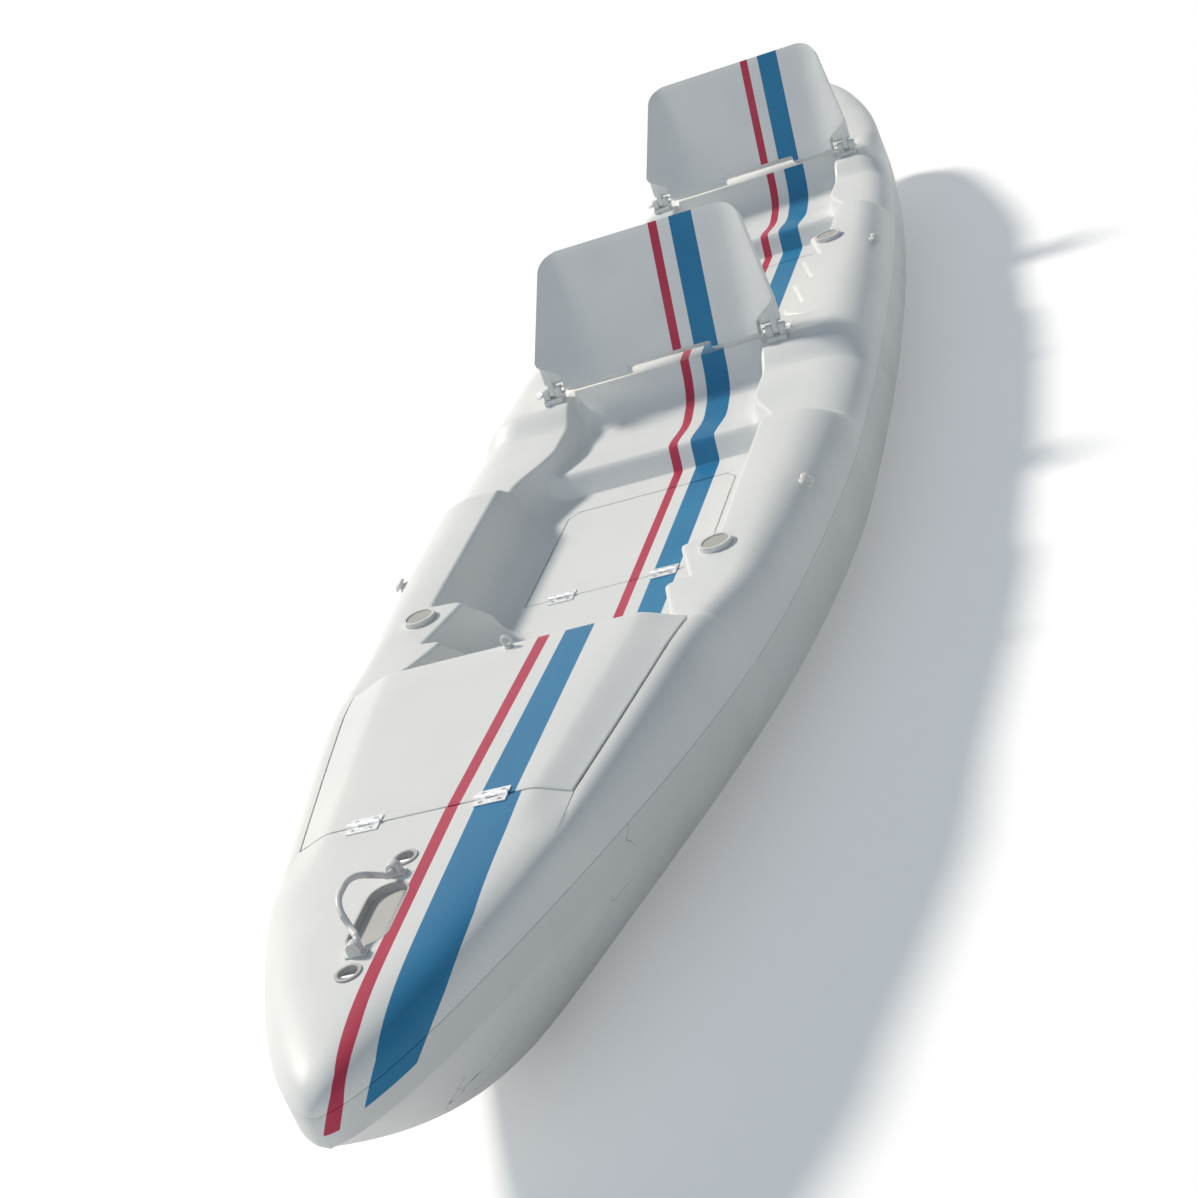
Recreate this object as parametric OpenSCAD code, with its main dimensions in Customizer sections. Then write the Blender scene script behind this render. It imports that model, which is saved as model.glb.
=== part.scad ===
// Tandem sit-in kayak: moulded hull and deck, two cockpit tubs, hinged bow and floor hatches,
// folding backrests, swinging carry handles, tie-downs, deck knobs and capped rod sockets.
// Millimetres. The bow is along +X, port along +Y, and the flat of the keel lies on Z = 0.

/* [Boat] */
// Length overall
boat_l = 4560; // [4480:10:4640]
// Greatest beam
boat_b = 872; // [860:2:890]
// Station of the greatest beam ahead of amidships
beam_x = 375; // [340:5:410]
// Thickness of the moulded shells
shell_t = 4; // [3:0.5:5]
// Width of the flat keel strip
keel_w = 240; // [210:5:260]
// Height of the widest point amidships
chine_h = 185; // [178:1:190]
// Rise of the widest point at the bow
bow_sheer = 93; // [86:1:96]
// Rise of the widest point at the stern
stern_sheer = 51; // [44:1:55]
// Height of the hull and deck joint above the widest point
seam_rise = 45; // [40:1:48]

/* [Deck] */
// Height of the foredeck
deck_h = 382; // [378:1:388]
// Height of the gunwale
gunwale_h = 328; // [325:1:332]
// Height of the ledges and the aft deck above the gunwale
ledge_rise = 8; // [6:0.5:10]
// Width over the deck crests amidships
crest_w = 636; // [630:2:644]
// Width over the deck crests at the front of the bow hatch
crest_front_w = 432; // [424:2:440]
// Drop of the gunwale beside the seats
elbow_dip = 30; // [24:1:34]

/* [Cockpits] */
// Station of the front backrest pivots
pivot_x = -80; // [-90:1:-70]
// Distance between the front and rear backrest pivots
seat_pitch = 1250; // [1240:1:1260]
// Height of the cockpit floors
floor_h = 215; // [210:1:222]
// Height of the seat pans
seat_h = 262; // [256:1:268]
// Length of the seat pans ahead of the pivots
seat_l = 262; // [250:1:275]
// Width of the cockpits at the knees
well_w = 540; // [530:2:548]
// Width of the cockpits at the hips
hip_w = 424; // [414:2:430]
// Width of the bulkhead top between the cockpits
bulkhead_w = 90; // [80:1:100]
// Spacing of the foot braces
brace_pitch = 150; // [140:1:156]
// Step of each foot brace
brace_step = 44; // [38:1:48]
// Lean of the foot brace faces, measured at the floor
foot_rake = 60; // [50:2:70]

/* [Bow hatch] */
// Rear edge of the bow hatch lid
hatch_rear = 1195; // [1185:1:1205]
// Distance of the bow hatch hinge line from the bow
hatch_set = 590; // [580:1:600]
// Thickness of the bow hatch lid
lid_t = 6; // [5:0.5:7]
// Depth of the seat under the bow hatch lid
rebate_d = 12; // [11.5:0.5:14]

/* [Floor hatches] */
// Hinge line of the floor hatches ahead of the pivots
floor_hatch_set = 755; // [745:1:765]
// Length of the floor hatches
floor_hatch_l = 395; // [380:1:405]
// Width of the floor hatches
floor_hatch_w = 350; // [340:2:356]
// Thickness of the floor hatch lids
floor_lid_t = 5; // [4.5:0.5:6]
// Depth of the seat under the floor hatch lids
floor_rebate_d = 10; // [9.5:0.5:12]

/* [Hinges] */
// Length of each butt hinge
hinge_l = 50; // [46:1:54]
// Width of each hinge leaf
leaf_w = 19; // [17:0.5:21]
// Thickness of each hinge leaf
leaf_t = 2; // [1.5:0.25:2.25]
// Diameter of the hinge knuckles
knuckle_d = 7; // [6.5:0.25:7.5]
// Diameter of the hinge pins
hinge_pin_d = 4; // [3:0.25:4.25]
// Distance of each hinge from the centreline
hinge_y = 100; // [90:1:110]

/* [Backrests] */
// Lean of the backrests at rest
recline = 33; // [30:1:36]
// Height of the backrests above the pivots
back_h = 285; // [275:1:295]
// Width of the backrests at the wings
back_w = 524; // [516:2:528]
// Width of the backrests at the top
back_top_w = 430; // [420:2:440]
// Depth of the backrest panels
back_t = 30; // [26:1:32]
// Forward bend of the side wings
wing_d = 32; // [26:1:34]
// Diameter of the pivot bolts
bolt_d = 8; // [7:0.5:8.5]

/* [Fittings] */
// Distance of the middle of the bow carry handle from the bow
bow_handle_set = 340; // [332:1:348]
// Distance of the middle of the stern carry handle from the stern
stern_handle_set = 320; // [310:1:330]
// Distance between the handle lugs
handle_span = 184; // [178:1:190]
// Height of the handle above its lugs
handle_h = 48; // [44:1:54]
// Diameter of the handle tube
handle_d = 9.5; // [8.5:0.25:10]
// Lean of the handles to starboard at rest
handle_lean = 41; // [35:1:45]
// Distance of the tie-downs from the middle of the handle
tie_down_set = 132; // [130:1:136]
// Diameter of the tie-down cups
tie_down_d = 38; // [36:1:40]
// Station of the front rod sockets
socket_x = 884; // [878:1:890]
// Station of the rear rod sockets
rear_socket_x = -670; // [-676:1:-664]
// Distance of the rod sockets from the centreline
socket_y = 276; // [274:1:277]
// Depth of the rod sockets below the gunwale
socket_depth = 140; // [120:1:150]
// Station of the front deck knobs
knob_x = 648; // [640:1:656]
// Station of the rear deck knobs
rear_knob_x = -636; // [-644:1:-628]
// Diameter of the deck knobs
knob_d = 28; // [26:0.5:30]

/* [Hidden] */
$fn = 40;

gelcoat = [0.93, 0.93, 0.91];
steel = [0.78, 0.79, 0.80];
black_rubber = [0.08, 0.08, 0.08];
cap_grey = [0.72, 0.70, 0.66];

half_l = boat_l / 2;
nose = 4;
tip_x = half_l + nose;
hatch_front = half_l - hatch_set;
bow_handle_x = half_l - bow_handle_set;
stern_handle_x = stern_handle_set - half_l;
bow_taper = 1.5;
bow_roundness = 0.61;
stern_roundness = 0.53;
bow_sheer_set = 1380;
bow_sheer_x = half_l - bow_sheer_set;
stern_sheer_set = 1280;
stern_sheer_x = half_l - stern_sheer_set;
seam_share = 0.992;
forefoot_set = 1040;
forefoot_x = half_l - forefoot_set;
forefoot_clear = 4;
stem_curve = 2.8;
heel_set = 1080;
heel_x = half_l - heel_set;
heel_clear = 11;
heel_curve = 2.2;
mid_fullness = 2.26;
bow_fullness = 1.09;
stern_fullness = 2;
full_x = 300;
fine_set = 380;
fine_x = half_l - fine_set;
crest_share = 0.93;
crest_bend_x = 1010;
crest_bend = 1.15;
crest_mid_x = 750;
crest_aft_x = 1400;
crest_narrowing = 60;
bow_crest_curve = 2.2;
bow_crest_roundness = 0.6;
stern_crest_roundness = 0.55;
crease_share = 0.755;
shoulder_curve = 0.9;
fore_rise = 34;
rise_rear_x = 950;
rise_front_x = 1300;
bow_crest_droop = 28;
bow_droop_set = 280;
bow_droop_x = half_l - bow_droop_set;
stern_crest_droop = 38;
stern_droop_set = 830;
stern_droop_x = half_l - stern_droop_set;
bow_tip_droop = 42;
stern_tip_droop = 40;
tip_flat_set = 170;
tip_flat_x = half_l - tip_flat_set;
tip_curve = 2.2;
dip_rear = 26;
dip_in = 74;
dip_front = 360;
dip_out = 70;
seat_dish = 12;
dish_rear = 40;
dish_x = 130;
hip_front = 190;
knee_rear = 370;
wall_lean = 0.25;
rake_run = 260;
slide_set = 5;
slide_run = 150;
rake_out = 150;
seat_gap = 0.3;
hull_steps = 8;
shoulder_steps = 5;
edge_col = 7;
floor_col = 10;
hole_col = 13;
last_col = 28;

pivots = [pivot_x, pivot_x - seat_pitch];
pivot_rise = 22;
pivot_h = gunwale_h + pivot_rise;
ledge_h = gunwale_h + ledge_rise;
ledge_set = 14;
wall_run = 32;
well_fronts = [hatch_rear + 2, pivot_x - ledge_set - bulkhead_w];
sockets = [socket_x, rear_socket_x];
brace_set = 44;
brace_tips = [203, 226];
brace_last = [1, 3];
lip = 6;
cove = 50;
cove_rise = 90;
small_cove = 12;
room_run = 60;
riser_run = 25;
back_run = 70;

rim = 38;
front_rim = 28;
seam_w = 1.5;
hatch_edge = 3;
floor_rim = 24;
floor_edge = 2;

leaf_gap = 0.2;
axis_rise = leaf_gap + knuckle_d / 2;
knuckle_clear = knuckle_d / 2 + 0.6;
pin_play = 0.05;
screw_head_d = 7.6;
screw_d = 3.6;
screw_grip = 4.2;

tang_set = 15.5;
tang_y = back_w / 2 - tang_set;
fork_w = 41;
fork_in = tang_y - fork_w / 2;
fork_out = tang_y + fork_w / 2;
fork_rear = 12;
fork_front = 20;
fork_base_t = 10;
fork_r = 11;
tang_t = 12.4;
tang_r = 10.5;
foot_clear = 12;
back_foot = fork_in - foot_clear;
bolt_play = 0.05;

handle_rise = 11;
lug_l = 14;
handle_pin_d = handle_d - 1.5;
tray_l = 150;
tray_w = 64;
tray_d = 14;
tray_t = 2.5;
cup_d = tie_down_d - 5;
cut_h = 60;

socket_d = 54;
socket_ring_d = 58;
socket_ring_h = 9;
socket_bore_d = 48;
socket_low_d = 42;
cap_t = 14;

function share(v, a, b) = max(0, min(1, (v - a) / (b - a)));
function ramp(v, a, b) = let (t = share(v, a, b)) t * t * (3 - 2 * t);
function mix(a, b, t) = a + (b - a) * t;
function unit(v) = v / norm(v);
function sorted(v) = len(v) < 2 ? v :
    let (p = v[floor(len(v) / 2)])
    concat(sorted([for (x = v) if (x < p) x]), [p], sorted([for (x = v) if (x > p) x]));
function mirrored(row) = concat(row,
    [for (k = [len(row) - 2 : -1 : 0]) [row[k][0], -row[k][1], row[k][2]]]);

// Hull lines: plan shape, widest point, joint with the deck, keel and section fullness.
function plan(x) = x > beam_x
    ? pow(1 - pow((x - beam_x) / (tip_x - beam_x), bow_taper), bow_roundness)
    : pow(1 - pow((beam_x - x) / (tip_x + beam_x), 2), stern_roundness);
function half_beam(x) = boat_b / 2 * plan(x);
function chine_z(x) = chine_h + bow_sheer * ramp(x, bow_sheer_x, half_l)
    + stern_sheer * ramp(-x, stern_sheer_x, half_l);
function seam_y(x) = seam_share * half_beam(x);
function seam_z(x) = chine_z(x) + seam_rise;
function keel_z(x) = (chine_h + bow_sheer - forefoot_clear) * pow(share(x, forefoot_x, half_l), stem_curve)
    + (chine_h + stern_sheer - heel_clear) * pow(share(-x, heel_x, half_l), heel_curve);
function fullness(x) = mix(mix(mid_fullness, bow_fullness, ramp(x, full_x, fine_x)),
    stern_fullness, ramp(-x, full_x, fine_x));
function hull_row(x) = let (k = keel_w / 2 * plan(x), b = half_beam(x),
        c = chine_z(x), z = keel_z(x), m = 2 / fullness(x))
    mirrored(concat(
        [[x, seam_y(x), seam_z(x)]],
        [for (s = [0 : hull_steps]) let (t = 90 - 90 * s / hull_steps)
            [x, k + (b - k) * pow(sin(t), m), c - (c - z) * pow(cos(t), m)]],
        [[x, 0, z]]));

// Deck lines: the crest ends the rounded shoulder, the crease ends the flat middle.
function crest_y(x) = min(crest_share * half_beam(x),
    x > hatch_front ? crest_front_w / 2
        * pow(1 - pow((x - hatch_front) / (tip_x - hatch_front), bow_crest_curve), bow_crest_roundness) :
    x > crest_bend_x ? mix(crest_w / 2, crest_front_w / 2,
        pow(share(x, crest_bend_x, hatch_front), crest_bend)) :
    x > -crest_aft_x ? crest_w / 2 - crest_narrowing * share(-x, crest_mid_x, crest_aft_x) :
    (crest_w / 2 - crest_narrowing)
        * pow(1 - pow((-crest_aft_x - x) / (tip_x - crest_aft_x), 2), stern_crest_roundness));
function dip(x) = max([for (p = pivots)
    ramp(x - p, dip_rear, dip_rear + dip_in) * (1 - ramp(x - p, dip_front, dip_front + dip_out))]);
function crest_z(x) = gunwale_h + fore_rise * ramp(x, rise_rear_x, rise_front_x)
    - bow_crest_droop * pow(share(x, bow_droop_x, half_l), 2)
    - stern_crest_droop * ramp(-x, stern_droop_x, half_l) - elbow_dip * dip(x);
function crease_y(x) = crease_share * crest_y(x);
function middle_z(x) = x > 0
    ? deck_h - bow_tip_droop * pow(share(x, tip_flat_x, half_l), tip_curve)
    : ledge_h - stern_tip_droop * pow(share(-x, tip_flat_x, half_l), tip_curve);
function deck_z(x, y) = mix(middle_z(x), crest_z(x), share(abs(y), crease_y(x), crest_y(x)));
function shoulder_point(x, s) = let (t = 90 * s / shoulder_steps)
    [x, mix(crest_y(x), lookup(x, joint_ys), pow(cos(t), shoulder_curve)),
     mix(lookup(x, joint_zs) + seat_gap, crest_z(x), pow(sin(t), shoulder_curve))];

// Cockpit lines.
function cockpit_at(x) =
    x > pivots[0] - ledge_set && x < well_fronts[0] - wall_run / 2 ? 0 :
    x > pivots[1] - ledge_set && x < well_fronts[1] - wall_run / 2 ? 1 : -1;
function brace_x(c) = sockets[c] - brace_set;
function edge_y(c, x) = let (r = x - pivots[c], b = x - brace_x(c),
        n = min(floor(b / brace_pitch), brace_last[c]))
    b > 0 ? brace_tips[c] + brace_step * (b / brace_pitch - n)
          : mix(hip_w / 2, well_w / 2, ramp(r, hip_front, knee_rear));
function floor_z(c, x) = let (r = x - pivots[c])
    floor_h + (seat_h - floor_h) * (1 - ramp(r, seat_l, seat_l + riser_run))
    - seat_dish * ramp(r, dish_rear, dish_x) * (1 - ramp(r, dish_x, seat_l))
    + (ledge_h - seat_h) * pow(1 - share(r, -ledge_set, back_run), 2);
function hatch_x(c) = pivots[c] + floor_hatch_set;
function from_rear(c, x) = x - hatch_x(c) + floor_hatch_l;
function over_hatch(c, x) = from_rear(c, x) > 0 && x < hatch_x(c);
function rake(c, x) = foot_rake * (1 - ramp(x, well_fronts[c] - rake_out, well_fronts[c] - wall_run - 2));
function slide(c, x) = rake(c, x) * ramp(x, hatch_x(c) + slide_set, hatch_x(c) + slide_set + slide_run);
function cockpit_half(c, x) = let (
        y = edge_y(c, x), top = crest_z(x), z = floor_z(c, x),
        w = y - max(lip, wall_lean * (top - z)),
        wx = x - rake(c, x) * ramp(x, brace_x(c) - rake_run, brace_x(c)),
        fx = x - slide(c, x),
        h = floor_hatch_w / 2 - (over_hatch(c, x) ? max(0, floor_rim - from_rear(c, x)) : 0),
        room = wx < hatch_x(c) + room_run ? max(small_cove, w - floor_hatch_w / 2 - small_cove) : cove,
        sweep = cove * share(top - z, 0, cove_rise),
        k = max(lip, min(sweep, room)),
        rise = min(sweep, k),
        low = over_hatch(c, x) ? z - floor_rebate_d : z)
    [[x, y + lip, top], [x, y, top - lip],
     [wx, w + wall_lean * rise, z + rise], [wx, w - 0.19 * k, z + 0.25 * rise], [wx, w - k, z],
     [fx, min(h + seam_w, w - k - 7), z], [fx, min(h - seam_w, w - k - 14), low],
     [fx, min(h - floor_rim, w - k - 34), low], [fx, 0, low]];
function fore_half(x) = let (c = crest_y(x), f = crease_y(x), low = x < hatch_front ? rebate_d : 0,
        a = max(c - seam_w, 0.99 * c), b = max(c - front_rim, 0.88 * c))
    [for (y = [a, b, (b + f) / 2, f, 0.9 * f, 0.75 * f, 0.5 * f, 0.25 * f, 0]) [x, y, deck_z(x, y) - low]];
function aft_half(x) = let (c = crest_y(x), f = crease_y(x))
    [for (y = [0.97 * c, 0.9 * c, 0.83 * c, f, 0.9 * f, 0.75 * f, 0.5 * f, 0.25 * f, 0])
        [x, y, deck_z(x, y)]];
function inboard_half(x) = cockpit_at(x) >= 0 ? cockpit_half(cockpit_at(x), x) :
    x >= well_fronts[0] - 1 ? fore_half(x) : aft_half(x);
function deck_row(x) = mirrored(concat([for (s = [0 : shoulder_steps]) shoulder_point(x, s)], inboard_half(x)));

// Stations of the deck grid, with close pairs where the surface steps.
function cockpit_stations(c) = let (p = pivots[c], h = hatch_x(c), b = brace_x(c), e = well_fronts[c]) concat(
    [for (r = [-ledge_set - 6, -ledge_set + 1, 2, 20, 45, back_run, 110, 160, 210, 245, seat_l,
        seat_l + riser_run / 2, seat_l + riser_run, 320, dip_front + dip_out * 0.6,
        dip_front + dip_out]) p + r],
    [for (d = [floor_hatch_l + seam_w, floor_hatch_l - seam_w, floor_hatch_l - floor_rim, floor_hatch_l * 0.75,
        floor_hatch_l * 0.5, floor_rim, seam_w, -seam_w]) h - d],
    [for (n = [0 : brace_last[c]]) for (d = [-4, 4, brace_pitch / 2])
        if (b + n * brace_pitch + d < e - wall_run - 6) b + n * brace_pitch + d],
    [e - wall_run, e]);
stations = sorted(concat(
    [for (k = [0 : 10]) -half_l + (pivots[1] - ledge_set - 6 + half_l) * pow(k / 11, 1.7)],
    cockpit_stations(1), cockpit_stations(0),
    [hatch_rear + rim, mix(hatch_rear, hatch_front, 0.25), mix(hatch_rear, hatch_front, 0.5),
     mix(hatch_rear, hatch_front, 0.75), hatch_front - front_rim, hatch_front - seam_w],
    [for (k = [0 : 14]) half_l - (half_l - hatch_front - seam_w) * pow(1 - k / 14, 1.6)]));
// The hull keeps some of these stations, and the deck follows the joint from one to the next.
function station_step(x) = mix(150, 8, pow(share(abs(x), heel_x, half_l), 1.5));
function thinned(v, i, kept) = i == len(v) - 1 ? concat(kept, [v[i]]) :
    thinned(v, i + 1, v[i] - kept[len(kept) - 1] < station_step(v[i]) ? kept : concat(kept, [v[i]]));
hull_stations = thinned(stations, 1, [stations[0]]);
joint_ys = [for (x = hull_stations) [x, seam_y(x)]];
joint_zs = [for (x = hull_stations) [x, seam_z(x)]];
deck_grid = [for (x = stations) deck_row(x)];
hull_grid = [for (x = hull_stations) hull_row(x)];

// Skin moved off a grid along its normals; the end rows move along the boat and the rims across it.
function grid_normal(g, i, j) = let (
        a = g[min(i + 1, len(g) - 1)][j] - g[max(i - 1, 0)][j],
        b = g[i][min(j + 1, len(g[0]) - 1)] - g[i][max(j - 1, 0)])
    unit(cross(b, a));
function skin(g, d) = let (last = len(g) - 1, rim = len(g[0]) - 1)
    [for (i = [0 : last]) [for (j = [0 : rim])
        let (p = g[i][j], q = p + d * grid_normal(g, i, j),
            x = i == 0 ? p[0] + abs(d) : i == last ? p[0] - abs(d) : j == 0 || j == rim ? p[0] : q[0])
        [x, q[1], j == 0 || j == rim ? p[2] : q[2]]]];
function mid(i) = (stations[i] + stations[i + 1]) / 2;
function inner_col(j) = j >= edge_col && j < last_col - edge_col;
function tub_cell(c, i, j) = inner_col(j) && mid(i) > pivots[c] - ledge_set + 0.5 && mid(i) < well_fronts[c];
function floor_hole(c, i, j) = j >= hole_col && j < last_col - hole_col
    && mid(i) > hatch_x(c) - floor_hatch_l + floor_rim && mid(i) < hatch_x(c) - floor_rim;
function bow_hole(i, j) = inner_col(j) && mid(i) > hatch_rear + rim && mid(i) < hatch_front - front_rim;

// Solid between two grids, keeping the cells a function picks; closed ends get a plate.
module shell(top, bottom, keep, closed) {
    ni = len(top) - 1;
    nj = len(top[0]) - 1;
    n = (ni + 1) * (nj + 1);
    at = function(i, j) i * (nj + 1) + j;
    in = function(i, j) i >= 0 && i < ni && j >= 0 && j < nj && keep(i, j);
    wall = function(u, v) u < v ? [[v, u, u + n], [v, u + n, v + n]] : [[v, u, v + n], [u, u + n, v + n]];
    cells = [for (i = [0 : ni - 1]) for (j = [0 : nj - 1]) if (keep(i, j))
        let (a = at(i, j), b = at(i + 1, j), c = at(i + 1, j + 1), d = at(i, j + 1))
        each concat([[a, b, c], [a, c, d], [a + n, c + n, b + n], [a + n, d + n, c + n]],
            in(i, j - 1) ? [] : wall(a, b),
            in(i + 1, j) || (closed && i == ni - 1) ? [] : wall(b, c),
            in(i, j + 1) ? [] : wall(c, d),
            in(i - 1, j) || (closed && i == 0) ? [] : wall(d, a))];
    ends = closed ? [
        [for (j = [0 : nj]) at(0, j)], [for (j = [nj : -1 : 0]) at(0, j) + n],
        [at(0, 0), at(0, nj), at(0, nj) + n, at(0, 0) + n],
        [for (j = [nj : -1 : 0]) at(ni, j)], [for (j = [0 : nj]) at(ni, j) + n],
        [at(ni, nj), at(ni, 0), at(ni, 0) + n, at(ni, nj) + n]] : [];
    polyhedron(concat([for (row = top) each row], [for (row = bottom) each row]), concat(cells, ends), 6);
}

module for_sides() {
    children();
    mirror([0, 1, 0]) children();
}

module stadium(l, w) {
    square([l - w, w], center = true);
    for (s = [-1, 1]) translate([s * (l - w) / 2, 0]) circle(d = w);
}

module hull_shell() {
    color(gelcoat) shell(skin(hull_grid, shell_t), hull_grid, function(i, j) true, true);
}

module handle_cut(x, z) {
    translate([x, 0, z - cut_h / 2]) linear_extrude(cut_h)
        stadium(tray_l + 2 * seat_gap, tray_w + 2 * seat_gap);
    for (s = [-1, 1]) translate([x + s * tie_down_set, 0, z - cut_h / 2])
        cylinder(d = cup_d + 2 * seat_gap, h = cut_h);
}

module deck_shell() {
    color(gelcoat) difference() {
        shell(deck_grid, skin(deck_grid, -shell_t),
            function(i, j) !tub_cell(0, i, j) && !tub_cell(1, i, j) && !bow_hole(i, j), true);
        for_sides() for (x = sockets) translate([x, socket_y, gunwale_h - cut_h / 2])
            cylinder(d = socket_d + 2 * seat_gap, h = cut_h);
        handle_cut(bow_handle_x, deck_h);
        handle_cut(stern_handle_x, ledge_h);
    }
}

// Each cockpit moulding is split into seat, side walls and floor with the foot bulkhead.
function seat_cell(c, i) = mid(i) < pivots[c] + seat_l + riser_run;
function wall_cell(c, i, j) = !seat_cell(c, i) && mid(i) < well_fronts[c] - wall_run
    && (j < floor_col || j >= last_col - floor_col);

module tub(c, keep) {
    color(gelcoat) shell(deck_grid, skin(deck_grid, -shell_t),
        function(i, j) tub_cell(c, i, j) && keep(i, j), false);
}

module seat_pan(c) { tub(c, function(i, j) seat_cell(c, i)); }
module side_walls(c) { tub(c, function(i, j) wall_cell(c, i, j)); }
module cockpit_floor(c) {
    tub(c, function(i, j) !seat_cell(c, i) && !wall_cell(c, i, j) && !floor_hole(c, i, j));
}

module front_seat_pan() { seat_pan(0); }
module front_side_walls() { side_walls(0); }
module front_cockpit_floor() { cockpit_floor(0); }
module rear_seat_pan() { seat_pan(1); }
module rear_side_walls() { side_walls(1); }
module rear_cockpit_floor() { cockpit_floor(1); }

function lid_row(x, in, down) = let (e = crest_y(x) - in, f = crease_y(x))
    mirrored([for (y = [e, (e + f) / 2, f, 0.6 * f, 0.3 * f, 0]) [x, y, deck_z(x, y) - down]]);
seal_stations = concat([hatch_rear + 22, hatch_rear + 34],
    [for (k = [1 : 7]) mix(hatch_rear, hatch_front, k / 8)], [hatch_front - 21, hatch_front - 9]);
lid_stations = concat([hatch_rear], seal_stations, [hatch_front - hatch_edge]);
lift_eye_x = hatch_rear + 12;

module bow_hatch_lid() {
    color(gelcoat) difference() {
        shell([for (x = lid_stations) lid_row(x, hatch_edge, 0)],
            [for (x = lid_stations) lid_row(x, hatch_edge, lid_t)], function(i, j) true, false);
        translate([lift_eye_x, 0, deck_h - lid_t - 5]) cylinder(d = 5.3, h = lid_t + 10);
    }
}

function seal_row(x, down) = let (c = crest_y(x), f = crease_y(x))
    mirrored([for (y = [c - 9, c - 23, f, 0]) [x, y, deck_z(x, y) - down]]);

module bow_hatch_seal() {
    rows = len(seal_stations) - 2;
    color(black_rubber) shell([for (x = seal_stations) seal_row(x, lid_t + seat_gap)],
        [for (x = seal_stations) seal_row(x, rebate_d - seat_gap)],
        function(i, j) i == 0 || i == rows || j == 0 || j == 5, false);
}

module bow_hatch_eye() {
    color(gelcoat) translate([lift_eye_x, 0, deck_h]) {
        translate([0, 0, seat_gap]) cylinder(d = 15, h = 3);
        translate([0, 0, -lid_t - 4.5]) cylinder(d = 5, h = lid_t + 8);
        translate([0, 0, 12]) rotate([0, 90, 0]) rotate_extrude() translate([8, 0]) circle(d = 4.6);
    }
}

module bow_hatch_eye_nut() {
    color(steel) translate([lift_eye_x, 0, deck_h - lid_t - seat_gap - 3.6]) difference() {
        cylinder(d = 10, h = 3.6, $fn = 6);
        translate([0, 0, -1]) cylinder(d = 5.2, h = 6);
    }
}

// Butt hinge with its axis along Y through the origin; side is 1 for the fixed leaf, -1 for the lid leaf.
module screw_hole(r) {
    translate([0, 0, leaf_gap - axis_rise - 1]) cylinder(d = screw_d + r, h = leaf_t + 2);
    translate([0, 0, leaf_gap - axis_rise + 0.1])
        cylinder(d1 = screw_d + r, d2 = screw_head_d + r, h = leaf_t - 0.1);
    translate([0, 0, leaf_gap - axis_rise + leaf_t - 0.05]) cylinder(d = screw_head_d + r, h = 1);
}

screw_out = (knuckle_clear + leaf_w) / 2;
screw_side = hinge_l * 0.3;
knuckle_l = hinge_l / 3;

module knuckle(y, l, side) {
    translate([0, y, 0]) rotate([-90, 0, 0]) cylinder(d = knuckle_d, h = l);
    translate([side > 0 ? 0 : -knuckle_clear - 1, y, leaf_gap - axis_rise])
        cube([knuckle_clear + 1, l, leaf_t]);
}

module leaf(side) {
    difference() {
        union() {
            translate([side > 0 ? knuckle_clear : -leaf_w, -hinge_l / 2, leaf_gap - axis_rise])
                cube([leaf_w - knuckle_clear, hinge_l, leaf_t]);
            if (side > 0) {
                knuckle(-hinge_l / 2, knuckle_l, side);
                knuckle(hinge_l / 2 - knuckle_l, knuckle_l, side);
            } else {
                knuckle(-knuckle_l / 2 + 0.3, knuckle_l - 0.6, side);
            }
        }
        translate([0, -hinge_l, 0]) rotate([-90, 0, 0])
            cylinder(d = hinge_pin_d + 2 * pin_play, h = 2 * hinge_l);
        for (s = [-1, 1]) translate([side * screw_out, s * screw_side, 0]) screw_hole(0.4);
    }
}

module hinge_pin() {
    translate([0, -hinge_l / 2 - 0.5, 0]) rotate([-90, 0, 0]) cylinder(d = hinge_pin_d, h = hinge_l + 1);
}

module leaf_screws(side) {
    for (s = [-1, 1]) translate([side * screw_out, s * screw_side, leaf_gap - axis_rise]) {
        translate([0, 0, 0.2]) cylinder(d1 = screw_d, d2 = screw_head_d, h = leaf_t - 0.2);
        translate([0, 0, -screw_grip]) cylinder(d = screw_d, h = screw_grip + 1);
    }
}

module at_hinges(x, z) {
    for (s = [-1, 1]) translate([x, s * hinge_y, z + axis_rise]) children();
}

module at_floor_hinges(c) {
    at_hinges(hatch_x(c), floor_h) children();
}

module bow_hinge_fixed_leaves() { color(steel) at_hinges(hatch_front, deck_h) leaf(1); }
module bow_hinge_lid_leaves() { color(steel) at_hinges(hatch_front, deck_h) leaf(-1); }
module bow_hinge_pins() { color(steel) at_hinges(hatch_front, deck_h) hinge_pin(); }
module bow_hinge_fixed_screws() { color(steel) at_hinges(hatch_front, deck_h) leaf_screws(1); }
module bow_hinge_lid_screws() { color(steel) at_hinges(hatch_front, deck_h) leaf_screws(-1); }

module floor_plate(c, in) {
    l = floor_hatch_l - 2 * in;
    w = floor_hatch_w - 2 * in;
    corner = floor_rim - in * (2 - sqrt(2));
    translate([hatch_x(c) - floor_hatch_l + in, -w / 2])
        polygon([[corner, 0], [l, 0], [l, w], [corner, w], [0, w - corner], [0, corner]]);
}

module floor_lid(c) {
    color(gelcoat) translate([0, 0, floor_h - floor_lid_t]) linear_extrude(floor_lid_t)
        floor_plate(c, floor_edge);
}

module floor_seal(c) {
    color(black_rubber) translate([0, 0, floor_h - floor_rebate_d + seat_gap])
        linear_extrude(floor_rebate_d - floor_lid_t - 2 * seat_gap) difference() {
            floor_plate(c, 7);
            floor_plate(c, 18);
        }
}

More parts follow.
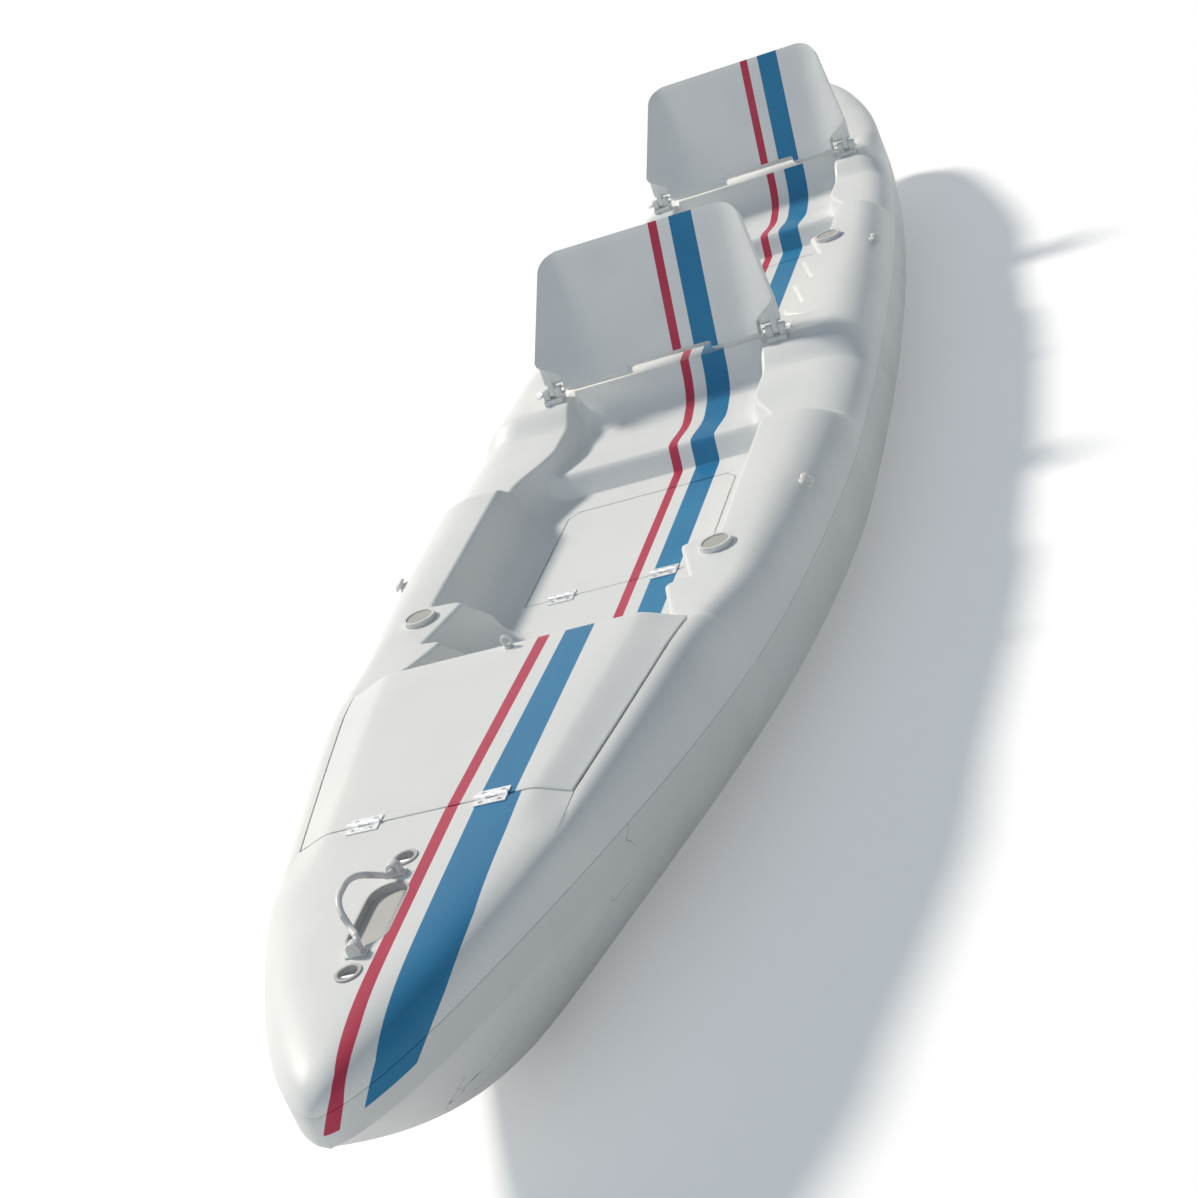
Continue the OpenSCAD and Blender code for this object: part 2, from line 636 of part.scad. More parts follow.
module front_floor_hatch_lid() { floor_lid(0); }
module front_floor_hatch_seal() { floor_seal(0); }
module front_floor_hinge_fixed_leaves() { color(steel) at_floor_hinges(0) leaf(1); }
module front_floor_hinge_lid_leaves() { color(steel) at_floor_hinges(0) leaf(-1); }
module front_floor_hinge_pins() { color(steel) at_floor_hinges(0) hinge_pin(); }
module front_floor_hinge_fixed_screws() { color(steel) at_floor_hinges(0) leaf_screws(1); }
module front_floor_hinge_lid_screws() { color(steel) at_floor_hinges(0) leaf_screws(-1); }
module rear_floor_hatch_lid() { floor_lid(1); }
module rear_floor_hatch_seal() { floor_seal(1); }
module rear_floor_hinge_fixed_leaves() { color(steel) at_floor_hinges(1) leaf(1); }
module rear_floor_hinge_lid_leaves() { color(steel) at_floor_hinges(1) leaf(-1); }
module rear_floor_hinge_pins() { color(steel) at_floor_hinges(1) hinge_pin(); }
module rear_floor_hinge_fixed_screws() { color(steel) at_floor_hinges(1) leaf_screws(1); }
module rear_floor_hinge_lid_screws() { color(steel) at_floor_hinges(1) leaf_screws(-1); }

// Backrest in its own frame: X through the panel, Z up the panel, pivots on Y through the origin.
corner_r = 50;
wing_foot = 44;
back_drop = 4;
notch_y = [-72, 112];
notch_top = 10;
back_skin = 5;
back_rim = 6;
side_lean = atan((back_w - back_top_w) / 2 / (back_h - wing_foot));
corner_z = back_h - corner_r;
corner_y = back_w / 2 - (corner_z - wing_foot) * tan(side_lean) - corner_r / cos(side_lean);
function outline_side(in) = concat(
    [[back_foot - in, in - back_drop], [back_foot - in, wing_foot - 20 + in],
     [back_w / 2 - in / cos(side_lean), wing_foot + in]],
    [for (k = [0 : 8]) let (t = mix(side_lean, 90, k / 8))
        [corner_y + (corner_r - in) * cos(t), corner_z + (corner_r - in) * sin(t)]]);
function outline(in) = let (side = outline_side(in)) concat(side,
    [for (k = [len(side) - 1 : -1 : 0]) [-side[k][0], side[k][1]]],
    [[notch_y[0] - in, in - back_drop], [notch_y[0] - in, notch_top + in],
     [notch_y[1] + in, notch_top + in], [notch_y[1] + in, in - back_drop]]);
bend_set = 72;
bend_y = back_w / 2 - bend_set;
reach_over = 18;
reach_y = back_w / 2 + reach_over;

module back_plan(front, back) {
    polygon([[back, -bend_y - 15], [back, bend_y + 15], [back + wing_d, reach_y], [front + wing_d, reach_y],
        [front, bend_y], [front, -bend_y], [front + wing_d, -reach_y], [back + wing_d, -reach_y]]);
}

module back_block(front, back, in) {
    intersection() {
        translate([0, 0, -20]) linear_extrude(back_h + 40) back_plan(front, back);
        translate([-100, 0, 0]) rotate([90, 0, 90]) linear_extrude(220) polygon(outline(in));
    }
}

module tang() {
    translate([0, tang_y - tang_t / 2, 0]) difference() {
        rotate([-90, 0, 0]) linear_extrude(tang_t) union() {
            circle(r = tang_r);
            polygon([[-9, 5], [9, 5], [24, -50], [28, -78], [12, -78], [-4, -45]]);
        }
        translate([0, -1, 0]) rotate([-90, 0, 0]) cylinder(d = bolt_d + 2 * bolt_play, h = tang_t + 2);
    }
}

module backrest(c) {
    color(gelcoat) translate([pivots[c], 0, pivot_h]) rotate([0, -recline, 0]) {
        difference() {
            back_block(back_t / 2, -back_t / 2, 0);
            back_block(back_t / 2 - back_skin, -back_t / 2 - 60, back_rim);
        }
        for_sides() tang();
    }
}

module front_backrest() { backrest(0); }
module rear_backrest() { backrest(1); }

module fork() {
    difference() {
        union() {
            translate([-fork_rear, fork_in, seat_gap - pivot_rise])
                cube([fork_rear + fork_front, fork_w, fork_base_t]);
            translate([-fork_r, fork_in, seat_gap - pivot_rise]) cube([2 * fork_r, fork_w, pivot_rise]);
            translate([0, fork_in, 0]) rotate([-90, 0, 0]) cylinder(r = fork_r, h = fork_w);
        }
        translate([-30, tang_y - tang_t / 2 - 0.5, -tang_r - 0.8]) cube([60, tang_t + 1, 60]);
        translate([0, fork_in - 1, 0]) rotate([-90, 0, 0]) cylinder(d = bolt_d + 2 * bolt_play, h = fork_w + 2);
    }
}

module at_pivots(c) {
    translate([pivots[c], 0, pivot_h]) children();
}

module front_pivot_forks() { color(gelcoat) at_pivots(0) for_sides() fork(); }
module rear_pivot_forks() { color(gelcoat) at_pivots(1) for_sides() fork(); }

nut_l = 10;
nut_y = fork_out + seat_gap;

module pivot_bolt() {
    translate([0, fork_in - seat_gap - 6.5, 0]) rotate([-90, 0, 0]) {
        cylinder(d = 15, h = 6.5);
        cylinder(d = bolt_d, h = fork_w + nut_l + 10);
    }
}

module front_pivot_bolts() { color(steel) at_pivots(0) for_sides() pivot_bolt(); }
module rear_pivot_bolts() { color(steel) at_pivots(1) for_sides() pivot_bolt(); }

module wing_nut() {
    translate([0, nut_y, 0]) rotate([-90, 0, 0]) difference() {
        union() {
            cylinder(d = 15, h = nut_l);
            for (s = [-1, 1]) translate([s * 11, 0, nut_l / 2]) {
                translate([-6, -2, -nut_l / 2 + 1]) cube([12, 4, nut_l + 1]);
                translate([s * 5, 2, 2]) rotate([90, 0, 0]) cylinder(d = 9, h = 4);
            }
        }
        translate([0, 0, -1]) cylinder(d = bolt_d + 2 * bolt_play, h = nut_l + 4);
    }
}

module front_port_wing_nut() { color(steel) at_pivots(0) wing_nut(); }
module front_starboard_wing_nut() { color(steel) at_pivots(0) mirror([0, 1, 0]) wing_nut(); }
module rear_port_wing_nut() { color(steel) at_pivots(1) wing_nut(); }
module rear_starboard_wing_nut() { color(steel) at_pivots(1) mirror([0, 1, 0]) wing_nut(); }

// Carry handle: two pins on X, slanted legs with bends at both ends, and an arched grip.
bend_a = 50;
foot_r = 18;
grip_r = 54;
foot_x = handle_span / 2 - lug_l / 2 - 3;
leg_l = (handle_h - (foot_r + grip_r) * (1 - cos(bend_a))) / sin(bend_a);
leg_x = foot_x - foot_r * sin(bend_a);
leg_z = foot_r * (1 - cos(bend_a));
grip_x = leg_x - leg_l * cos(bend_a) - grip_r * sin(bend_a);

module bail_rod(l) {
    translate([0, 0, -1]) cylinder(d = handle_d - 0.12, h = l + 2);
}

module half_bail() {
    translate([foot_x, 0, 0]) rotate([0, 90, 0]) bail_rod(1.5);
    translate([foot_x, 0, 0]) rotate([0, 90, 0]) cylinder(d = handle_pin_d, h = lug_l + 3);
    translate([foot_x, 0, foot_r]) rotate([90, 0, 0]) rotate([0, 0, -90 - bend_a])
        rotate_extrude(angle = bend_a) translate([foot_r, 0]) circle(d = handle_d);
    translate([leg_x, 0, leg_z]) rotate([0, bend_a - 90, 0]) bail_rod(leg_l);
    translate([grip_x, 0, handle_h - grip_r]) rotate([90, 0, 0]) rotate([0, 0, 90 - bend_a])
        rotate_extrude(angle = bend_a) translate([grip_r, 0]) circle(d = handle_d);
}

module bail(x, z) {
    color(gelcoat) translate([x, 0, z + handle_rise]) rotate([handle_lean, 0, 0]) {
        half_bail();
        mirror([1, 0, 0]) half_bail();
        translate([-grip_x, 0, handle_h]) rotate([0, 90, 0]) bail_rod(2 * grip_x);
    }
}

module lugs(x, z) {
    color(gelcoat) for (s = [-1, 1]) translate([x + s * handle_span / 2, 0, z + handle_rise]) difference() {
        union() {
            translate([-lug_l / 2, -10, seat_gap - handle_rise]) cube([lug_l, 20, handle_rise]);
            translate([-lug_l / 2, -16, seat_gap - handle_rise]) cube([lug_l, 32, 3]);
            translate([-lug_l / 2, 0, 0]) rotate([0, 90, 0]) cylinder(d = 20, h = lug_l);
        }
        translate([-lug_l, 0, 0]) rotate([0, 90, 0]) cylinder(d = handle_pin_d + 2 * bolt_play, h = 2 * lug_l);
    }
}

module tray(x, z) {
    color(gelcoat) translate([x, 0, z - tray_d]) difference() {
        linear_extrude(tray_d) stadium(tray_l, tray_w);
        translate([0, 0, tray_t]) linear_extrude(tray_d) stadium(tray_l - 2 * tray_t, tray_w - 2 * tray_t);
    }
}

module bow_handle() { bail(bow_handle_x, deck_h); }
module bow_handle_lugs() { lugs(bow_handle_x, deck_h); }
module bow_handle_tray() { tray(bow_handle_x, deck_h); }
module stern_handle() { bail(stern_handle_x, ledge_h); }
module stern_handle_lugs() { lugs(stern_handle_x, ledge_h); }
module stern_handle_tray() { tray(stern_handle_x, ledge_h); }

bar_d = 7;
bar_z = -6;

module at_tie_downs(x, z) {
    for (s = [-1, 1]) translate([x + s * tie_down_set, 0, z]) children();
}

module tie_down_cup() {
    difference() {
        union() {
            translate([0, 0, seat_gap]) cylinder(d = tie_down_d, h = 2);
            translate([0, 0, -18]) cylinder(d = cup_d, h = 19);
        }
        translate([0, 0, -16]) cylinder(d = cup_d - 4, h = 30);
        translate([0, -tie_down_d, bar_z]) rotate([-90, 0, 0])
            cylinder(d = bar_d + 2 * pin_play, h = 2 * tie_down_d);
    }
}

module tie_down_bar() {
    translate([0, -cup_d / 2 + 0.2, bar_z]) rotate([-90, 0, 0]) cylinder(d = bar_d, h = cup_d - 0.4);
}

module bow_tie_down_cups() { color(gelcoat) at_tie_downs(bow_handle_x, deck_h) tie_down_cup(); }
module bow_tie_down_bars() { color(steel) at_tie_downs(bow_handle_x, deck_h) tie_down_bar(); }
module stern_tie_down_cups() { color(gelcoat) at_tie_downs(stern_handle_x, ledge_h) tie_down_cup(); }
module stern_tie_down_bars() { color(steel) at_tie_downs(stern_handle_x, ledge_h) tie_down_bar(); }

// Deck knobs stand on the middle of a shoulder facet, square to its lean and its run.
function facet_point(x) = (shoulder_point(x, 2) + shoulder_point(x, 3)) / 2;

module at_knobs() {
    for_sides() for (x = [knob_x, rear_knob_x]) {
        a = shoulder_point(x, 2);
        b = shoulder_point(x, 3);
        run = facet_point(x + knob_d / 2) - facet_point(x - knob_d / 2);
        translate(facet_point(x)) rotate([0, 0, atan(run[1] / run[0])]) rotate([0, -atan(run[2] / run[0]), 0])
            rotate([-atan((b[2] - a[2]) / (a[1] - b[1])), 0, 0]) translate([0, 0, seat_gap + 0.1]) children();
    }
}

knob_h = 16;
knob_hole_d = 4.4;
knob_sink_d = 9;

module deck_knob() {
    r = knob_d / 2;
    rotate_extrude() polygon([[knob_hole_d / 2, 0], [r - 2, 0], [r - 2, 2], [r / 2, 4], [r / 2, 7],
        [r - 1, 8], [r, 9.5], [r - 1, 12], [r - 4, 14.5], [r - 8, knob_h],
        [knob_sink_d / 2, knob_h], [knob_sink_d / 2, knob_h - 3], [knob_hole_d / 2, knob_h - 3]]);
}

module knob_screw() {
    translate([0, 0, knob_h - 2.7]) cylinder(d = knob_sink_d - 0.8, h = 2.4);
    translate([0, 0, -shell_t]) cylinder(d = knob_hole_d - 0.4, h = shell_t + knob_h - 2);
}

module deck_knobs() { color(gelcoat) at_knobs() deck_knob(); }
module deck_knob_screws() { color(steel) at_knobs() knob_screw(); }

module rod_socket() {
    difference() {
        union() {
            translate([0, 0, seat_gap]) cylinder(d = socket_ring_d, h = socket_ring_h);
            translate([0, 0, -socket_depth]) cylinder(d = socket_d, h = socket_depth + 1);
        }
        translate([0, 0, socket_ring_h - cap_t - 2]) cylinder(d = socket_bore_d, h = cap_t + 10);
        translate([0, 0, 4 - socket_depth]) cylinder(d = socket_low_d, h = socket_depth + 10);
    }
}

module rod_sockets() {
    color(gelcoat) for_sides() for (x = sockets) translate([x, socket_y, gunwale_h]) rod_socket();
}

module socket_cap(x, side) {
    color(cap_grey) translate([x, side * socket_y, gunwale_h + socket_ring_h - cap_t - 2 + seat_gap]) {
        cylinder(d = socket_bore_d - 0.6, h = cap_t - 1.2);
        translate([0, 0, cap_t - 1.2]) cylinder(d1 = socket_bore_d - 0.6, d2 = socket_bore_d - 3, h = 1.2);
    }
}

module front_port_socket_cap() { socket_cap(socket_x, 1); }
module front_starboard_socket_cap() { socket_cap(socket_x, -1); }
module rear_port_socket_cap() { socket_cap(rear_socket_x, 1); }
module rear_starboard_socket_cap() { socket_cap(rear_socket_x, -1); }

hull_shell();
deck_shell();
front_seat_pan();
front_side_walls();
front_cockpit_floor();
rear_seat_pan();
rear_side_walls();
rear_cockpit_floor();
bow_hatch_lid();
bow_hatch_seal();
bow_hatch_eye();
bow_hatch_eye_nut();
bow_hinge_fixed_leaves();
bow_hinge_lid_leaves();
bow_hinge_pins();
bow_hinge_fixed_screws();
bow_hinge_lid_screws();
front_floor_hatch_lid();
front_floor_hatch_seal();
front_floor_hinge_fixed_leaves();
front_floor_hinge_lid_leaves();
front_floor_hinge_pins();
front_floor_hinge_fixed_screws();
front_floor_hinge_lid_screws();
rear_floor_hatch_lid();
rear_floor_hatch_seal();
rear_floor_hinge_fixed_leaves();
rear_floor_hinge_lid_leaves();
rear_floor_hinge_pins();
rear_floor_hinge_fixed_screws();
rear_floor_hinge_lid_screws();
front_backrest();
rear_backrest();
front_pivot_forks();
rear_pivot_forks();
front_pivot_bolts();
rear_pivot_bolts();
front_port_wing_nut();
front_starboard_wing_nut();
rear_port_wing_nut();
rear_starboard_wing_nut();
bow_handle();
bow_handle_lugs();
bow_handle_tray();
stern_handle();
stern_handle_lugs();
stern_handle_tray();
bow_tie_down_cups();
bow_tie_down_bars();
stern_tie_down_cups();
stern_tie_down_bars();
deck_knobs();
deck_knob_screws();
rod_sockets();
front_port_socket_cap();
front_starboard_socket_cap();
rear_port_socket_cap();
rear_starboard_socket_cap();
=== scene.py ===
import math

import bmesh
import bpy
from mathutils import Matrix, Vector


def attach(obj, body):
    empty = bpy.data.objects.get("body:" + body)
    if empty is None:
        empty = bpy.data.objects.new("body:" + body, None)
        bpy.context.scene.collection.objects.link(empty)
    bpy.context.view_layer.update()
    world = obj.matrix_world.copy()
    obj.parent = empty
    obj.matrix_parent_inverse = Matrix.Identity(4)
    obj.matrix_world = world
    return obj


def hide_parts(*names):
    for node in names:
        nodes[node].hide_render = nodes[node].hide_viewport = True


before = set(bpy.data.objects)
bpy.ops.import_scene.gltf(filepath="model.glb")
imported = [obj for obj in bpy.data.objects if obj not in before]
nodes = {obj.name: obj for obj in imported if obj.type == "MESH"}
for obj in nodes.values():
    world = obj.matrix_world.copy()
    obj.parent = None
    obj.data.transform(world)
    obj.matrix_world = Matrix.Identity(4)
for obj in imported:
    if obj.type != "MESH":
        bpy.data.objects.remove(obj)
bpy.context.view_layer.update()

# Hull lines, close to the part's source: lengths in millimetres, stations forward from amidships.
HALF = 2280.0
TIP = 2284.0
BEAM_X = 375.0
BEAM_HALF = 436.0
BOW_TAPER = 1.5
BOW_ROUND = 0.61
STERN_TAPER = 2.0
STERN_ROUND = 0.53
CHINE_Z = 185.0
BOW_SHEER = 93.0
BOW_SHEER_X = 900.0
STERN_SHEER = 51.0
STERN_SHEER_X = 1000.0
KEEL_HALF = 120.0
FOREFOOT_Z = 276.0
FOREFOOT_X = 1240.0
FOREFOOT_POWER = 2.8
HEEL_Z = 225.0
HEEL_X = 1200.0
HEEL_POWER = 2.2
FULLNESS = 2.26
BOW_FULLNESS = 1.09
STERN_FULLNESS = 2.0
FINE_FROM = 300.0
FINE_TO = 1900.0
SKIN = 3.6
HULL_STEPS = 24
END_STEPS = (0, 1, 2.5, 5, 9, 15, 23, 33)
END_ZONE = 45.0

# Joint of hull and deck.
SEAM_SHARE = 0.992
SEAM_RISE = 45.0
SEAM_LIFT = 0.3
SEAM_GROOVE = 0.8
GROOVE_SHARE = 0.04

# Deck lines.
DECK_Z = 382.0
LEDGE_Z = 336.0
GUNWALE_Z = 328.0
HATCH_REAR = 1195.0
HATCH_FRONT = 1690.0
HATCH_LEDGE = 28.0
HATCH_SILL = 38.0
BOW_REBATE = 12.0
CREST_HALF = 318.0
CREST_FRONT = 216.0
CREST_REAR = 258.0
CREST_BEND = 1010.0
CREST_NARROW = 750.0
CREST_BEND_POWER = 1.15
CREST_LIMIT = 0.93
AFT_DECK = 1400.0
BOW_CREST_TAPER = 2.2
BOW_CREST_ROUND = 0.6
STERN_CREST_TAPER = 2.0
STERN_CREST_ROUND = 0.55
FLAT_SHARE = 0.755
BOW_RISE = 34.0
BOW_RISE_X = (950.0, 1300.0)
BOW_DROOP = 28.0
BOW_DROOP_X = 2000.0
STERN_DROOP = 38.0
STERN_DROOP_X = 1450.0
ROLL_START = 2040.0
ROLL_POWER = 3.0
ROLL_ROUND = 0.4545
BEND_SOFT = 11.0
BEND_SOFT_SHARE = 0.1
BEND_HALF = 10.0
BEND_HALF_SHARE = 0.06
CREST_BAND = 27.0
CREST_OFFSETS = (0.5, 1.3, 5, 12)
SHOULDER_STEPS = 12
SHOULDER_ROUND = 0.9
FAIR_BOW = (HATCH_FRONT + 5, HATCH_FRONT + 120)
FAIR_STERN = (1420.0, 1560.0)
END_BLEND = (1850.0, 2240.0)
DECK_POWER = 5.0
END_POWER = 2.4
END_BEND = 0.45

# Cockpits, the front one first. Seat and elbow offsets run forward from the backrest's pivot.
PIVOTS = (-80.0, -1330.0)
PIVOT_Z = 350.0
BACK_SET = 44.0
WELL_FRONTS = (1197.0, -184.0)
WELL_HALF = 270.0
SEAT_HALF = 212.0
WELL_WIDENS = (190.0, 370.0)
ELBOW_DIP = 30.0
ELBOW = (26.0, 100.0, 360.0, 430.0)
FLOOR_Z = 215.0
SEAT_RISE = 47.0
RISER = (258.0, 291.0)
SEAT_DISH = 12.0
DISH = (40.0, 130.0, 262.0)
BACK_RISE = 74.0
LOWER_BACK = (-14.0, 70.0)
BRACES = (840.0, -714.0)
BRACE_TIPS = (203.0, 226.0)
BRACE_LAST = (1, 3)
BRACE_PITCH = 150.0
BRACE_STEP = 44.0
FOOT_RAKE = 60.0
RAKE_ENDS = (150.0, 34.0)
RAKE_WALL = 260.0
RAKE_FLOOR = (5.0, 155.0)
WALL_SLOPE = 0.25
WALL_RUN = 6.0
COVE = 50.0
COVE_DROP = 90.0
COVE_SHARE = 0.62
COVE_REACH = 60.0
COVE_ROOM = 12.0
COVE_LEAST = 6.0
COVE_GAPS = (7.0, 14.0, 34.0)
LIP = 8.0
LIP_SHARE = 0.34
FLOOR_HATCHES = (675.0, -575.0)
FLOOR_HATCH_L = 395.0
FLOOR_HATCH_HALF = 175.0
FLOOR_RIM = 24.0
FLOOR_REBATE = 10.0
STEP_HALF = 1.5
AVERAGE_STEP = 1.5
AVERAGE_TAPS = 6
WELL_START = 13.0
WELL_STOP = 35.0
WELL_STEP = 9.0
SEAT_STEP = 6.0
SEAT_REACH = (-14.0, 460.0)
TIP_STEP = 2.5
TIP_REACH = 14.0

# Fittings that pass through the deck.
SOCKETS = (884.0, -670.0)
SOCKET_Y = 276.0
SOCKET_R = 27.3
HANDLES = ((1940.0, DECK_Z), (-1960.0, LEDGE_Z))
TRAY_L = 150.6
TRAY_W = 64.6
TIE_DOWN_SET = 132.0
TIE_DOWN_R = 16.8
CUT_HALF = 30.0


def share(v, a, b):
    return max(0.0, min(1.0, (v - a) / (b - a)))


def ramp(v, a, b):
    t = share(v, a, b)
    return t * t * (3 - 2 * t)


def mix(a, b, t):
    return a + (b - a) * t


# Curves of the hull, the deck and the cockpits at a station x.
def plan(x):
    """Share of the greatest beam at a station."""
    if x > BEAM_X:
        return max(0.0, 1 - ((x - BEAM_X) / (TIP - BEAM_X)) ** BOW_TAPER) ** BOW_ROUND
    return max(0.0, 1 - ((BEAM_X - x) / (TIP + BEAM_X)) ** STERN_TAPER) ** STERN_ROUND


def half_beam(x):
    return BEAM_HALF * plan(x)


def chine_z(x):
    return CHINE_Z + BOW_SHEER * ramp(x, BOW_SHEER_X, HALF) + STERN_SHEER * ramp(-x, STERN_SHEER_X, HALF)


def seam_y(x):
    return SEAM_SHARE * half_beam(x)


def seam_z(x):
    return chine_z(x) + SEAM_RISE


def keel_z(x):
    forefoot = FOREFOOT_Z * share(x, FOREFOOT_X, HALF) ** FOREFOOT_POWER
    return forefoot + HEEL_Z * share(-x, HEEL_X, HALF) ** HEEL_POWER


def fullness(x):
    """Exponent of the hull's section at a station."""
    fore = mix(FULLNESS, BOW_FULLNESS, ramp(x, FINE_FROM, FINE_TO))
    return mix(fore, STERN_FULLNESS, ramp(-x, FINE_FROM, FINE_TO))


def crest_y(x):
    """Half width over the deck's crests."""
    if x > HATCH_FRONT:
        along = (x - HATCH_FRONT) / (TIP - HATCH_FRONT)
        c = CREST_FRONT * max(0.0, 1 - along ** BOW_CREST_TAPER) ** BOW_CREST_ROUND
    elif x > CREST_BEND:
        c = mix(CREST_HALF, CREST_FRONT, share(x, CREST_BEND, HATCH_FRONT) ** CREST_BEND_POWER)
    elif x > -AFT_DECK:
        c = CREST_HALF - (CREST_HALF - CREST_REAR) * share(-x, CREST_NARROW, AFT_DECK)
    else:
        along = (-AFT_DECK - x) / (TIP - AFT_DECK)
        c = CREST_REAR * max(0.0, 1 - along ** STERN_CREST_TAPER) ** STERN_CREST_ROUND
    return min(CREST_LIMIT * half_beam(x), c)


def dip(x):
    """1 where the gunwale is low beside a seat, and 0 away from it."""
    start, low, high, end = ELBOW
    return max(ramp(x - p, start, low) * (1 - ramp(x - p, high, end)) for p in PIVOTS)


def crest_z(x):
    rise = BOW_RISE * ramp(x, *BOW_RISE_X)
    droop = BOW_DROOP * share(x, BOW_DROOP_X, HALF) ** 2 + STERN_DROOP * ramp(-x, STERN_DROOP_X, HALF)
    return GUNWALE_Z + rise - droop - ELBOW_DIP * dip(x)


def middle_z(x):
    """Height of the deck on the centre line, rolled down to the seam at both tips."""
    top = DECK_Z if x > 0 else LEDGE_Z
    roll = max(0.0, 1 - share(abs(x), ROLL_START, TIP) ** ROLL_POWER) ** ROLL_ROUND
    return mix(seam_z(x), top, roll)


def flat_deck_z(x, y):
    c = crest_y(x)
    if c < 0.01:
        return middle_z(x)
    return mix(middle_z(x), crest_z(x), share(abs(y), FLAT_SHARE * c, c))


def deck_z(x, y):
    """Height of the deck, with the bend at the edge of its flat softened."""
    soft = min(BEND_SOFT, BEND_SOFT_SHARE * crest_y(x))
    y = abs(y)
    beside = 0.25 * flat_deck_z(x, y - soft) + 0.5 * flat_deck_z(x, y)
    return beside + 0.25 * flat_deck_z(x, y + soft)


def sharp_edge_y(c, x):
    """Half width of a cockpit's opening, with its foot braces as sharp steps."""
    b = x - BRACES[c]
    if b > 0:
        step = b / BRACE_PITCH - min(math.floor(b / BRACE_PITCH), BRACE_LAST[c])
        return BRACE_TIPS[c] + BRACE_STEP * step
    return mix(SEAT_HALF, WELL_HALF, ramp(x - PIVOTS[c], *WELL_WIDENS))


def edge_y(c, x):
    """Half width of a cockpit's opening, averaged over 9 mm to each side."""
    total = 0.0
    weight = 0.0
    for k in range(-AVERAGE_TAPS, AVERAGE_TAPS + 1):
        w = 1 + math.cos(math.pi * k / (AVERAGE_TAPS + 1))
        total += w * sharp_edge_y(c, x + AVERAGE_STEP * k)
        weight += w
    return total / weight


def floor_z(c, x):
    r = x - PIVOTS[c]
    start, deep, end = DISH
    riser = SEAT_RISE * (1 - ramp(r, *RISER))
    dish = SEAT_DISH * ramp(r, start, deep) * (1 - ramp(r, deep, end))
    back = BACK_RISE * (1 - share(r, *LOWER_BACK)) ** 2
    return FLOOR_Z + riser - dish + back


def faired_z(x, y, z):
    """Height z drawn to one smooth curve from the middle to the seam, towards both ends of the boat."""
    share_new = max(ramp(x, *FAIR_BOW), ramp(-x, *FAIR_STERN))
    s = seam_y(x)
    if share_new == 0:
        return z
    if s < 0.5:
        return seam_z(x)
    height = middle_z(x) - seam_z(x)
    end = ramp(abs(x), *END_BLEND)
    power = mix(DECK_POWER, END_POWER, end)
    bend = END_BEND
    if end < 1:
        top = (crest_z(x) - seam_z(x)) / height
        bend = mix(math.log(top) / math.log(1 - (crest_y(x) / s) ** power), END_BEND, end)
    return mix(z, seam_z(x) + height * max(0.0, 1 - (abs(y) / s) ** power) ** bend, share_new)


def bezier(a, b, c, t):
    return [(1 - t) ** 2 * p + 2 * t * (1 - t) * q + t * t * r for p, q, r in zip(a, b, c)]


# Half sections, from the seam on the port side to the centre line.
def shoulder_half(x):
    points = []
    base = seam_z(x) + SEAM_LIFT
    for s in range(SHOULDER_STEPS + 1):
        t = math.radians(90 * s / SHOULDER_STEPS)
        y = mix(crest_y(x), seam_y(x), math.cos(t) ** SHOULDER_ROUND)
        z = mix(base, crest_z(x), math.sin(t) ** SHOULDER_ROUND)
        points.append((x, y, max(base, faired_z(x, y, z))))
    y = points[0][1]
    z = points[0][2]
    groove = min(SEAM_GROOVE, GROOVE_SHARE * y)
    return [(x, y - groove, z), (x, y, z + groove / 2)] + points[1:]


def over_hatch(c, x):
    return FLOOR_HATCHES[c] - FLOOR_HATCH_L < x < FLOOR_HATCHES[c]


def cockpit_half(c, x):
    """Over the lip, down the wall and the cove, and along the floor with its hatch rebate."""
    y = edge_y(c, x)
    top = crest_z(x)
    z = floor_z(c, x)
    drop = max(0.0, top - z)
    w = y - max(WALL_RUN, WALL_SLOPE * (top - z))
    rake = FOOT_RAKE * (1 - ramp(x, *(WELL_FRONTS[c] - d for d in RAKE_ENDS)))
    wx = x - rake * ramp(x, BRACES[c] - RAKE_WALL, BRACES[c])
    fx = x - rake * ramp(x, *(FLOOR_HATCHES[c] + d for d in RAKE_FLOOR))
    room = COVE
    if wx < FLOOR_HATCHES[c] + COVE_REACH:
        room = max(COVE_ROOM, w - FLOOR_HATCH_HALF - COVE_ROOM)
    sweep = COVE * share(top - z, 0, COVE_DROP)
    k = max(COVE_LEAST, min(sweep, room))
    flat = w - k
    rise = min(sweep, k, COVE_SHARE * drop)
    lip = min(LIP, LIP_SHARE * drop)
    h = FLOOR_HATCH_HALF
    low = z
    if over_hatch(c, x):
        from_rear = x - FLOOR_HATCHES[c] + FLOOR_HATCH_L
        h -= max(0.0, FLOOR_RIM - from_rear)
        low = z - FLOOR_REBATE
    corner = [(x, y + lip, top), (x, y, top), (x, y - 0.25 * lip, top - lip)]
    row = [bezier(*corner, t / 4) for t in range(5)]
    start = row[-1]
    cove = [(wx, w + 0.25 * rise, z + rise), (wx, w, z), (wx, flat, z)]
    row += [[mix(a, b, t / 4) for a, b in zip(start, cove[0])] for t in range(1, 4)]
    row += [bezier(*cove, t / 6) for t in range(7)]
    edges = (h + STEP_HALF, h - STEP_HALF, h - FLOOR_RIM)
    outer, inner, rim = (min(e, flat - gap) for e, gap in zip(edges, COVE_GAPS))
    row += [(mix(wx, fx, t / 3), mix(flat, outer, t / 3), z) for t in (1, 2)]
    row += [(fx, outer, z), (fx, inner, low)]
    row += [(fx, rim * t, low) for t in (1, 0.75, 0.5, 0.25, 0)]
    return row


# Grid lines on the deck's flat, as shares of its half width.
FLAT_STEPS = (0.86, 0.8, 0.73, 0.65, 0.57, 0.48, 0.4, 0.3, 0.2, 0.15, 0.08, 0)


